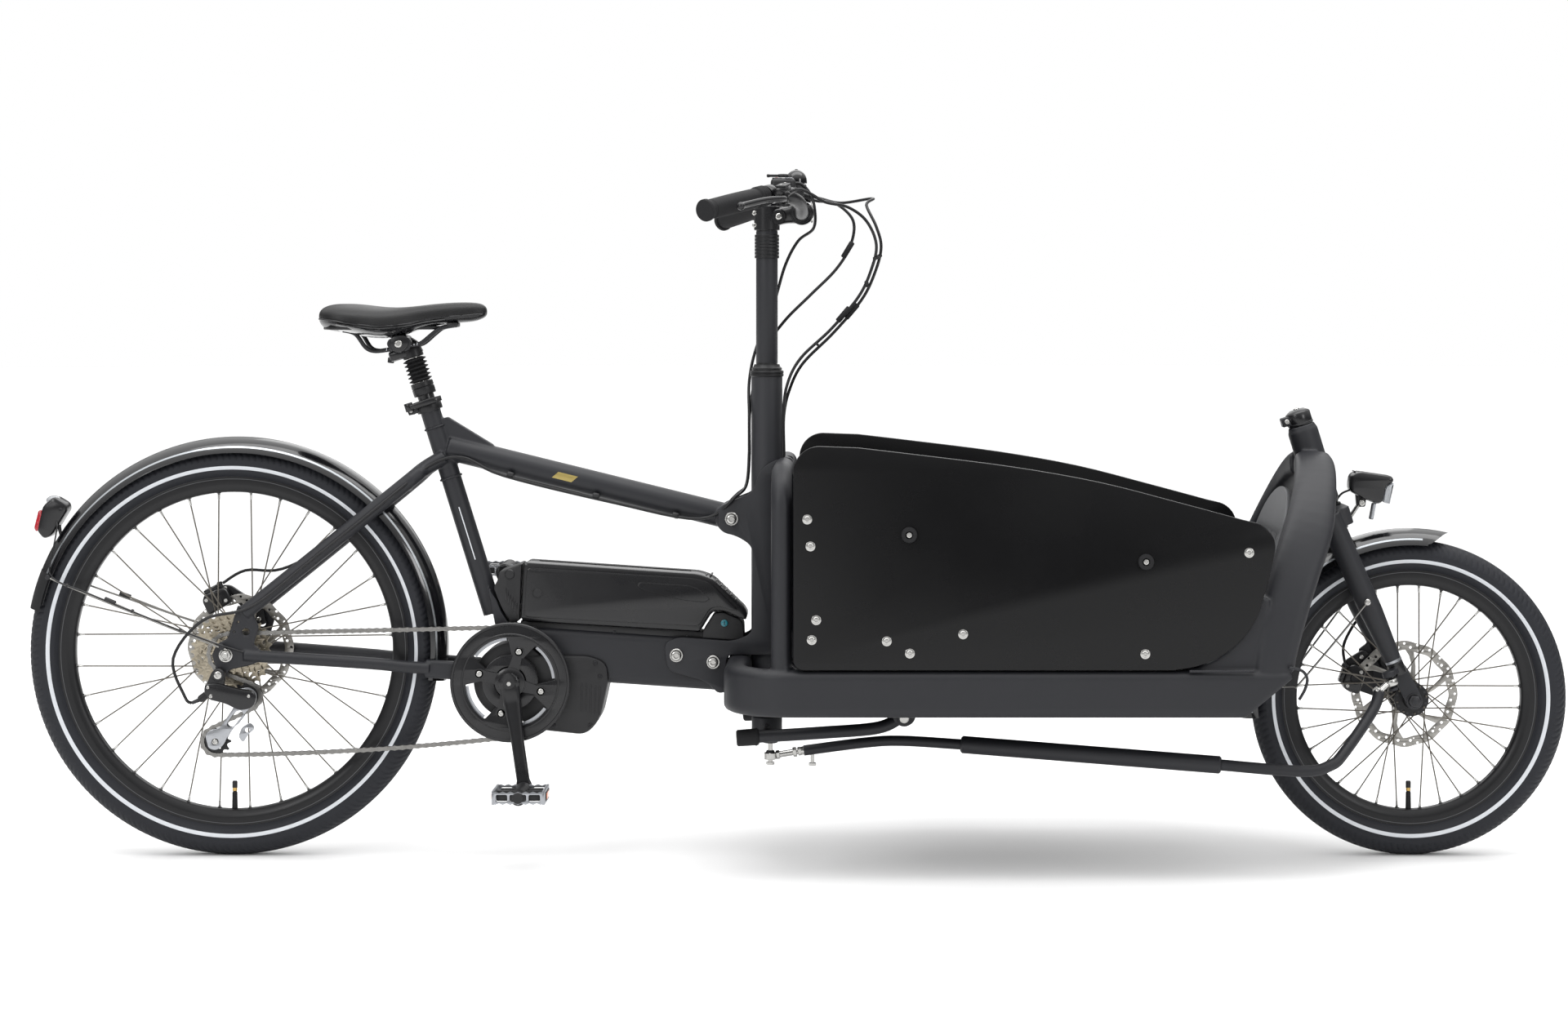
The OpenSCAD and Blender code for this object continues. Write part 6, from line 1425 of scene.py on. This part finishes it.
    # Bell: low black dome on its base, with a thumb clapper beside it.
    dome = [(17.2 * cos(a), 1103 + 18 * sin(a)) for a in range(90, -1, -6)]
    s.use(GLOSS).lathe([(max(r, 0.1), z) for r, z in dome] + [(17.4, 1099), (16.6, 1098.2), (15, 1098.4)], c=(-2, -62, 0), axis="Z", seg=56)
    s.use(PLASTIC).lathe([(0.1, 1097), (15, 1097), (16.4, 1096), (17, 1090), (16, 1088), (12.6, 1086), (12.6, 1064), (0.1, 1062)], c=(-2, -62, 0), axis="Z", seg=48)
    s.use(HARDWARE).rod((-2, -62, 1119.6), (-2, -62, 1121.8), 2.6, edge=0.6)
    s.use(REDDOT).rod((-22.4, -66, 1092), (-20.4, -66, 1092), 2.2)
    s.finish("controls", smooth=35, slot="black_plastic")

    for name, body, flip in (("brake_lever_right", "right_brake_lever", 1), ("brake_lever_left", "left_brake_lever", -1)):
        s = Shape(name + "_blade", body).use(SEMI)
        route = [PIVOT, GRIP_IN + 8 * GRIP + 43 * AHEAD - Vector((0, 0, 4.2)), GRIP_IN + 50 * GRIP + 40 * AHEAD, GRIP_IN + 100 * GRIP + 37 * AHEAD, GRIP_IN + 116 * GRIP + 39 * AHEAD]
        s.tube(route, [7.2, 5.6, 4.8, 4.8, 5.0, 5.2, 6.2], sides=20, steps=7, squash=0.8)
        s.ball(GRIP_IN + 116 * GRIP + 39.5 * AHEAD, 6.4, seg=20)
        s.lathe([(3.1, -6), (8.4, -6), (9, -5.2), (9, 5.2), (8.4, 6), (3.1, 6)], axis="Z", seg=32, matrix=Matrix.Translation(PIVOT), closed=True)
        if flip < 0:
            s.v = [Vector((p.x, -p.y, p.z)) for p in s.v]
        s.finish(name, smooth=40, slot="black_anodised")

    s = Shape("shift_thumb", "shift_lever").use(PLASTIC)
    s.lathe([(0.1, 1112), (7.4, 1111.8), (9, 1110.6), (9, 1107.4), (8, 1106.6), (0.1, 1106.6)], c=(-22, -112, 0), axis="Z", seg=36)
    s.skin([[(x, y - w, z) for y, z in ((-112, 1107), (-112, 1111))] + [(x, y + w, z) for y, z in ((-112, 1111), (-112, 1107))] for x, w in ((-28, 4.2), (-38, 4.0), (-45, 4.6))])
    s.box((-46, -112, 1109), (5, 10, 5), 1.2)
    s.finish("shift_lever", smooth=40, slot="black_plastic")
    s = Shape("bell_thumb", "bell_lever").use(HARDWARE)
    s.box((-26.3, -62, 1101), (3, 7.4, 13.4), 1)
    s.skin([[(x, -62 - w, z), (x, -62 + w, z), (x, -62 + w, z + 3), (x, -62 - w, z + 3)] for x, w, z in ((-26, 3.4, 1104.6), (-34, 3.0, 1105), (-41, 3.8, 1105))])
    s.use(REDDOT).rod((-34, -62, 1107.6), (-34, -62, 1108.4), 2.0)
    s.finish("bell_lever", smooth=40, slot="black_plastic")


# ------------------------------------------------------------------ cables

def cables():
    side = 51 / 2 + 3.2
    tap = GRIP_IN - 66 * GRIP + 13 * AHEAD
    front = [tap, (8, -131, 1086), (24, -114, 1079), (46, -96, 1067), (82, -60, 1060), (112, -34, 1038), (128, -18, 1000), (120, -8, 960), (99, -6, 915), (54, -8, 862),
             (4, -12, 814), (-18, -22, 770), (-24, -24, 720), (-24, -24, 662)]
    rear = [(tap.x, -tap.y, tap.z), (8, 131, 1086), (34, 112, 1080), (70, 96, 1072), (122, 60, 1078), (112, 24, 1066), (128, 2, 1030), (136, -2, 996), (126, 0, 955), (104, 2, 910), (58, 0, 856),
            (8, 4, 806), (-14, 22, 764), (-24, 24, 720), (-24, 24, 662)]
    shift = [(-8, -112, 1096), (6, -111, 1096), (20, -108, 1082), (28, -98, 1058), (26, -60, 1026), (0, -14, 1006), (-22, 16, 966), (-42, 30, 900), (-70, 30, 830), (-81, 16, 776),
             (MAST_X - side, -10, 720), (MAST_X - side, -10, 662)]
    light = [(12, 24, 1078.5), (30, 24, 1073), (62, 20, 1068), (90, 14, 1040), (86, 8, 1000), (62, 6, 960), (20, 14, 918), (-24, 27, 874), (-62, 38, 820), (-74, 30, 770),
             (MAST_X - side, 8, 720), (MAST_X - side, 8, 662)]
    s = Shape("bar_cables", None).use(CABLE)
    for route in (front, rear, shift, light):
        s.tube(route, 2.5, sides=14, steps=8)
    # Connector sleeves and ties on the bundle.
    s.use(RUBBER)
    for route, i, t in ((rear, 9, 0.35), (front, 8, 0.55), (light, 4, 0.2)):
        a, b = Vector(route[i]), Vector(route[i + 1])
        d = (b - a).normalized()
        p = a + (b - a) * t
        s.rod(p - d * 15, p + d * 15, 4.6, edge=1.2, sides=18)
    # Ties that hold the two hoses together where they run side by side.
    s.use(PLASTIC)
    for p, q, way in (((112, -7, 938), (114, 1, 932), (-0.5, 0, -1)), ((30, -10, 838), (34, 2, 834), (-0.75, 0, -0.6)), ((126, -13, 978), (134, -1, 982), (0, 0, -1))):
        a, b, d = Vector(p), Vector(q), Vector(way).normalized()
        for e in (a, b):
            s.rod(e - d * 1.7, e + d * 1.7, 3.7, sides=18)
        s.box((0, 0, 0), ((a - b).length, 3.4, 6.6), 0.8, matrix=facing((a + b) / 2, b - a, d.orthogonal()))
        s.rod((a + b) / 2 - Vector((0, 5, 0)), (a + b) / 2 - Vector((0, 8.5, 0)), 2.2, edge=0.4)
    o = s.finish(smooth=45)
    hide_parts("handlebar_cables")
    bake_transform(o)

    right = [(MAST_X - side, -10, 661.5), (MAST_X - side - 4, -10, 610), (-100, -40, 590), (-160, -26, 552), (-300, -24, 578), (-480, -24, 622), (-548, -24, 652),
             (-600, -32, 640), (-660, -64, 590), (-780, -74, 494), (-880, -82, 415), (-960, -84, 392), (-1008, -84, 330), (-990, -80, 268), (-981, -73, 257)]
    left = [(MAST_X - side, 8, 661.5), (MAST_X - side - 4, 8, 610), (-100, 40, 590), (-160, 26, 552), (-300, 24, 578), (-480, 24, 622), (-548, 24, 652),
            (-600, 34, 648), (-660, 66, 600), (-780, 76, 505), (-860, 74, 462), (-920, 66, 460), (-955, 52, 440)]
    s = Shape("tube_cables", "frame").use(CABLE)
    for route in (right, left):
        s.tube(route, 2.5, sides=14, steps=6)
    # Guides along the top tube.
    for x in (-470, -330, -200):
        z = 667.3 + (x + 574) * (552.5 - 667.3) / 466 - 17
        for y in (-24, 24):
            s.use(PLASTIC).rod((x - 5, y, z + 1), (x + 5, y, z - 1.4), 4.4, edge=0.8, sides=16)
        s.use(STEEL).bolt((x, 0, z - 6), (0, 0, -1), 3.6, 2)
        s.use(HARDWARE).box((x, 0, z - 3.4), (9, 50, 2), 0.6)
    # Hoses that run down beside the mast and into the load bay's rear rail.
    s.use(CABLE)
    for y in (-24, 24):
        s.tube([(-24, y, 662), (-24, y, 600), (-23, y * 1.04, 500), (-24, y, 400), (-22, y, 350), (-12, y, 318), (8, y, 300)], 2.5, sides=12, steps=5)
    s.use(PLASTIC)
    for z in (640, 480):
        for y in (-24, 24):
            s.rod((-24, y, z - 3), (-24, y, z + 3), 3.8, sides=16)
    s.finish("frame_cables", smooth=45, slot="rubber")


# ------------------------------------------------------------------ seat

def seat():
    s = Shape("post", "post")
    s.use(SEMI).lathe([(11.3, 200), (13.2, 200), (13.6, 201), (13.6, 490), (11.3, 490)], axis="Z", seg=48, matrix=SEAT, closed=True)
    s.use(ANODISED).lathe([(11.3, 488), (17.6, 488), (18.5, 489.4), (18.5, 500), (17.6, 501), (18.5, 502), (18.5, 508.6), (17.4, 510), (11.3, 510)], axis="Z", seg=48, matrix=SEAT, closed=True)
    s.finish("seatpost", smooth=35, slot="black_anodised")

    # Bellows of soft pleats.
    s = Shape("bellows", None).use(RUBBER)
    prof = [(12.2, 510.6)]
    for k in range(41):
        t = k / 40
        prof.append((16.6 + 2.9 * math.cos(TAU * 6 * t - math.pi), 510.6 + 40.2 * t))
    prof.append((12.2, 551))
    s.lathe(prof, axis="Z", seg=56, matrix=SEAT)
    o = s.finish(smooth=60)
    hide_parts("seatpost_boot")
    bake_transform(o)

    s = Shape("post_head", "seat")
    s.use(STEEL).lathe([(0.1, 400), (11.1, 400), (11.1, 552)], axis="Z", seg=40, matrix=SEAT)
    s.use(ANODISED).lathe([(11, 552), (16.2, 552), (17, 553), (17, 566), (15, 575), (11, 580), (0.1, 581)], axis="Z", seg=44, matrix=SEAT)
    s.use(SEMI).skin([[(mid_x + a * math.cos(TAU * j / 20), 14 * math.sin(TAU * j / 20), mid_z + a * 0.28 * math.cos(TAU * j / 20)) for j in range(20)]
                      for mid_x, mid_z, a in ((-632, 822, 17), (-638, 828, 18), (-645, 834, 17), (-650, 838, 15))])
    # Offset block between the stem and the rail cradle.
    s.box((-20, 0, 564), (34, 30, 18), 5, matrix=SEAT)
    s.plate(rounded([(-668, 838), (-662, 852), (-640, 852), (-634, 838), (-644, 824), (-660, 824)], 6), -31, 31, edge=2.4)
    s.use(HARDWARE)
    for y in (-22, 22):
        s.plate(rounded([(-672, 838), (-668, 846), (-636, 848), (-630, 840), (-636, 826), (-666, 826)], 5), y - 6.6, y + 6.6, edge=1.4)
    s.use(STEEL).rod((-652, -34, 838), (-652, 34, 838), 4, edge=0.8)
    for e in (-1, 1):
        s.bolt((-652, 31 * e, 838), (0, e, 0), 6.4, 3.4)
    # Adjuster screw through the cradle.
    s.use(HARDWARE).rod((-668, 0, 815), (-664, 0, 846), 3, edge=0.5)
    s.rod((-669, 0, 806), (-668, 0, 815), 5.4, edge=1, sides=16)
    s.finish("seatpost_head", smooth=38, slot="black_anodised")

    s = Shape("rails", "seat").use(HARDWARE)
    s.tube([(-742, 34, 860), (-722, 32, 854), (-706, 26, 832), (-692, 22.4, 826), (-672, 22, 828), (-640, 22, 834), (-618, 22, 838), (-598, 18, 854), (-584, 16, 864), (-562, 12, 868)],
           3.5, sides=16, steps=6)
    s.mirror()
    # Graduations along the middle of the rails.
    s.use(STRIPE)
    for k in range(11):
        x = -672 + k * 5
        s.box((x, -25.6, 828.6 + (x + 672) * 0.18), (0.8, 0.3, 4.4 if k % 5 == 0 else 2.6), 0)
    s.use(PLASTIC).box((-566, 0, 869), (18, 34, 8), 2)
    s.finish("saddle_rails", smooth=45, slot="black_anodised")


def saddle():
    """Padded top over a glossy shell, lofted from sections and subdivided."""
    # [x from the tail, half width, skirt, side height, crown]
    secs = [(0, 34, 872, 882, 890), (5, 56, 864, 881, 897), (16, 74, 859, 880, 902), (34, 84, 857, 878, 905), (58, 86, 853, 874, 904.5), (82, 80, 847, 871, 902.5),
            (104, 68, 844, 869, 900.5), (128, 51, 849, 871, 900), (150, 37, 856, 874, 901), (175, 28.5, 865, 880, 903), (205, 24, 870, 884, 905),
            (232, 22, 872.5, 886, 906), (252, 19, 874, 888, 905.5), (265, 13.5, 879, 889, 903), (271.5, 7, 884, 889.5, 896)]
    n = 28
    top, rings = [], []
    for x, w, low, mid, high in secs:
        ring = []
        for k in range(n):
            a = TAU * k / n
            u, v = math.cos(a), math.sin(a)
            y = w * math.copysign(abs(u) ** 0.82, u)
            if v >= 0:
                z = mid + (high - mid) * v ** 0.75
                # Relief channel down the middle of the rear half.
                if x < 190 and abs(y) < 16:
                    z -= 3.4 * (1 - (abs(y) / 16) ** 2) * min(1, x / 40, (190 - x) / 60 if x > 130 else 1)
                # Slight dish between the sit bones and the nose.
                z -= 1.6 * math.exp(-((x - 110) / 40) ** 2)
            else:
                z = mid + (mid - low) * v
                y *= 1 - 0.10 * abs(v) ** 2
            ring.append((-782 + x, y, z))
        rings.append(ring)
    s = Shape("saddle_pad", "seat")
    s.use(LEATHER).skin(rings)
    m = []
    for f in s.f:
        if len(f) > 4:
            m.append(0)
            continue
        k = sorted(i % n for i in f)
        kk = k[0] if k[-1] - k[0] < 3 else n - 1
        ring = min(i // n for i in f)
        below = kk >= n // 2 + 1 and kk <= n - 2
        x = secs[ring][0]
        m.append(1 if below and 30 <= x <= 190 else 2 if below else 0)
    s.mats, s.m = [LEATHER, HATCH, SEMI], m
    o = s.finish("saddle", smooth=0, slot="saddle_cover", subdiv=2)
    s = Shape("saddle_trim", "seat")
    # Piping where cover meets shell, and the moulded underside.
    s.use(SEMI)
    for e in (-1, 1):
        s.tube([(-782 + x, e * (w * 0.985 + 0.4), mid - 2.5) for x, w, low, mid, high in secs[1:-1]], 1.3, sides=8, steps=4)
    s.use(HATCH)
    for e in (-1, 1):
        s.skin([[(-782 + x, e * (w * 0.97 + 1.2), mid - 5), (-782 + x, e * (w * 0.95 + 1.2), mid - 6.6), (-782 + x, e * (w * 0.93 - 1), mid - 5)] for x, w, low, mid, high in secs[3:11]])
    s.use(PLASTIC).plate([(-774, 30), (-760, 62), (-730, 72), (-690, 58), (-650, 30), (-612, 17), (-590, 12), (-580, 0), (-590, -12), (-612, -17), (-650, -30), (-690, -58), (-730, -72), (-760, -62), (-774, -30)],
                         861, 867, edge=1.5, lay="flat")
    s.finish(smooth=45, slot="saddle_cover")


def clamp():
    s = Shape("quick_release", "seat_clamp_lever").use(SEMI)
    m = SEAT @ Matrix.Translation((-29, -19, 476))
    s.lathe([(2.6, -7), (6.4, -7), (7, -6.2), (7, 6.2), (6.4, 7), (2.6, 7)], axis="Z", seg=32, matrix=m, closed=True)
    rings = []
    for k in range(11):
        t = k / 10
        x, y = 3 + 52 * t, -6.2 - 2.0 * math.sin(math.pi * t) + (5.5 * max(0, t - 0.8) / 0.2)
        h, w = 4.2 + 1.0 * math.sin(math.pi * t), 2.6 - 0.5 * t
        rings.append([(x, y + w * math.copysign(abs(math.cos(a)) ** 0.7, math.cos(a)), -0.5 + h * math.copysign(abs(math.sin(a)) ** 0.7, math.sin(a))) for a in [TAU * j / 16 for j in range(16)]])
    s.skin(rings, matrix=m)
    s.finish("clamp_lever", smooth=40, slot="black_anodised")
    s = Shape("clamp_fittings", "frame")
    m = SEAT @ Matrix.Translation((-29, 0, 469))
    s.use(STEEL).rod((0, -12, 0), (0, 13, 0), 2.9, matrix=m)
    s.use(HARDWARE).rod((0, 10, 0), (0, 15, 0), 6.5, edge=1, matrix=m)
    s.use(ANODISED).lathe([(16.6, 460), (20.6, 460), (21.2, 461), (21.2, 474.6), (20.4, 475.6), (16.6, 475.6)], axis="Z", seg=56, a0=-162, a1=162, matrix=SEAT, closed=True)
    # Reflective strips on the seat tube.
    for e in (-1,):
        s.use(STRIPE).lathe([(16.75, 206), (16.75, 296)], axis="Z", seg=4, a0=-93, a1=-87, matrix=SEAT)
    s.finish(smooth=40, slot="black_anodised")


# ------------------------------------------------------------------ fork, link and stand

def fork_and_link():
    merged("fork_body", ["fork"], "fork", PAINT, 0.0016, 4)
    s = Shape("fork_fittings", "fork")
    up = Vector((-sin(17), 0, cos(17)))
    s.use(SEMI).lathe([(15, 34.4), (20.8, 34.4), (21.4, 35.2), (21.4, 37.2), (20.4, 38), (20.6, 38.6), (20.6, 53.4), (19.2, 55.6), (12, 60), (0.1, 60.6)], axis="Z", seg=56, matrix=STEER)
    s.use(ANODISED).lathe([(15, -110), (24.6, -110), (25, -109), (25, -105), (23.4, -104.6)], axis="Z", seg=56, matrix=STEER)
    s.use(STEEL)
    for y in (-1, 1):
        s.bolt(STEER @ Vector((-22, 12.4 * y, 46)), (0, y, 0), 4.4, 3)
    s.bolt(STEER @ Vector((0, 0, 60.4)), up, 5, 2.4)
    for e in (-1, 1):
        s.use(HARDWARE).lathe([(4, 58 * e), (12.6, 58 * e), (12.6, 59.6 * e), (10.4, 60 * e)], c=FRONT, seg=32)
        s.lathe([(10.4, 60 * e), (10.4, 65.6 * e), (8.6, 66.8 * e), (4, 66.8 * e)], c=FRONT, seg=6)
        s.lathe([(4.9, 46 * e), (13, 46 * e), (13.6, 47 * e), (13.6, 49.8 * e), (4.9, 49.8 * e)], c=FRONT, seg=32)
        leg = STEER @ Matrix.Translation((-7.5, e * 62, -115)) @ Matrix.Rotation(math.radians(-7), 4, "Y")
        s.use(SEMI).lathe([(12.9, -282), (13.3, -281), (13.7, -262), (12.9, -261)], axis="Z", seg=44, matrix=leg)
        s.use(SILVER).lathe([(12.9, -260.6), (13.9, -260), (14.0, -256), (12.9, -255.4)], axis="Z", seg=44, matrix=leg)
    # Black cover over the axle end on the chain side, as a knurled cap.
    s.use(PLASTIC).lathe([(0.1, -67.4), (5, -67.4), (6.4, -66.6)], c=FRONT, seg=24)
    s.use(STRIPE)
    s.finish(smooth=38, slot="frame_paint")

    a, b = Vector((MAST_X + 8, -84, 173)), STEER @ Vector((8, -84, -400))
    s = Shape("ball_end", "link_end")
    s.use(STEEL).lathe([(4.1, -5.4), (9.6, -5.4), (10.4, -4.6), (10.4, 4.6), (9.6, 5.4), (4.1, 5.4)], axis="Z", seg=40, matrix=Matrix.Translation(a), closed=True)
    s.use(HARDWARE).lathe([(4.2, 5.5), (7.4, 5.5), (6.2, 9.0), (4.2, 9.4)], axis="Z", seg=32, matrix=Matrix.Translation(a))
    s.finish("rod_end", smooth=38, slot="steel")
    s = Shape("link_rod", "steering_link")
    d = Vector((56, 0, 9)).normalized()
    s.use(STEEL).rod(a + d * 11, a + d * 57, 4.9, edge=0.5)
    # Thread, lock nuts and the flattened adjuster.
    for k in range(14):
        p = a + d * (14 + k * 1.7)
        s.rod(p - d * 0.4, p + d * 0.4, 5.4, sides=20)
    for x, r in ((12.5, 7.2), (40, 8.0), (48, 7.2)):
        s.rod(a + d * (x - 3), a + d * (x + 3), r, edge=0.7, sides=6)
    s.rod(a + d * 50, a + d * 62, 6.6, 8.0, edge=0.6)
    s.use(PAINT)
    s.tube([a + Vector((54, 0, 8.6)), (110, -81, 194), (170, -86, 197.5), (268, -100.3, 193.4)], 8.5, sides=28, steps=10)
    s.rod((264, -99.7, 193.6), (675, -165, 170), 14, edge=2.6, sides=40)
    s.tube([(673, -164.7, 170.2), (800, -184.6, 163), (846, -184, 172), (872, -168, 192), (925, -112, 250), b + Vector((-22, -10, -14))], 9, sides=28, steps=10)
    dd = (Vector((675, -165, 170)) - Vector((264, -99.7, 193.6))).normalized()
    ring_bead(s, Vector((266, -100, 193.5)), dd, 10.2, 1.6, 22)
    ring_bead(s, Vector((673.5, -164.8, 170.1)), dd, 10.6, 1.6, 22)
    # Front eye, threaded neck and its knurled ring.
    s.use(STEEL).lathe([(6.2, -5), (9.8, -5), (10.4, -4.2), (10.4, 4.2), (9.8, 5), (6.2, 5)], axis="Z", seg=40, matrix=STEER @ Matrix.Translation((8, -84, -400)), closed=True)
    p, q = b + Vector((-22, -10, -14)), b + Vector((-8, -4, -3))
    s.rod(p, q, 4.8)
    e = (q - p).normalized()
    s.rod(p - e * 6, p + e * 3, 8.6, edge=1, sides=24)
    for k in range(18):
        n = e.orthogonal().normalized()
        n.rotate(Matrix.Rotation(TAU * k / 18, 3, e))
        s.rod(p - e * 5 + n * 8.4, p + e * 2 + n * 8.4, 0.8, sides=6)
    # Second bolt below the rod, where the damper eye sits.
    c = a + Vector((68, 1, 5))
    s.use(STEEL).rod(c - Vector((0, 0, 20)), c, 3.2)
    s.rod(c - Vector((0, 0, 21)), c - Vector((0, 0, 16)), 6.2, edge=0.6, sides=6)
    s.finish("tie_rod", smooth=38, slot="frame_paint")

    s = Shape("stand", "kickstand").use(PAINT)
    s.tube([(168, 112, 240), (130, 126, 224), (40, 140, 218), (-62, 150, 213)], 10, sides=28, steps=8)
    s.use(RUBBER).rod((-60, 149.8, 213), (-95.5, 153.2, 211), 13.6, 13.2, edge=2.2, sides=36)
    s.lathe([(13.9, -1.5), (14.4, 0), (13.9, 1.5)], axis="X", seg=36, matrix=Matrix.Translation((-64, 150.2, 212.8)))
    s.mirror()
    s.use(PAINT).lathe([(8.2, -118), (12.4, -118), (13, -117), (13, 117), (12.4, 118), (8.2, 118)], c=(172, 0, 240), seg=44, closed=True)
    s.finish("kickstand", smooth=38, slot="frame_paint")
    s = Shape("stand_hinge", "frame")
    s.use(STEEL).rod((172, -138, 240), (172, 138, 240), 7.6, edge=1)
    s.use(PAINT)
    for e in (-1, 1):
        s.plate(rounded([(150, 258), (194, 258), (188, 232), (172, 224), (156, 232)], 8), *sorted((e * 122, e * 128)), [circle((172, 240), 7.8, 24)], edge=1)
    s.use(HARDWARE)
    for e in (-1, 1):
        s.bolt((172, e * 128, 240), (0, e, 0), 11, 6)
    s.finish(smooth=38, slot="frame_paint")


def badge():
    """Small plain foil badge on the top tube."""
    s = Shape("badge", "frame")
    a, b = Vector((-574, 0, 667.3)), Vector((-108, 0, 552.5))
    d = (b - a).normalized()
    n = Vector((-d.z, 0, d.x))
    rings = []
    for k in range(13):
        ang = -16 + 32 * k / 12
        ring = []
        for side, skew in ((0, 0), (1, 0)):
            along = 372 + side * 33 + (k - 6) * 0.7
            c = a + d * (along - 190)
            ring.append(c + (Vector((0, -1, 0)) * cos(ang) + n * sin(ang)) * 20.75)
        rings.append(ring)
    s.use(GOLD).add([p for r in rings for p in r], [[2 * i, 2 * i + 1, 2 * i + 3, 2 * i + 2] for i in range(12)])
    s.finish(smooth=60, slot="frame_paint")


cockpit()
cables()
seat()
saddle()
clamp()
fork_and_link()
badge()
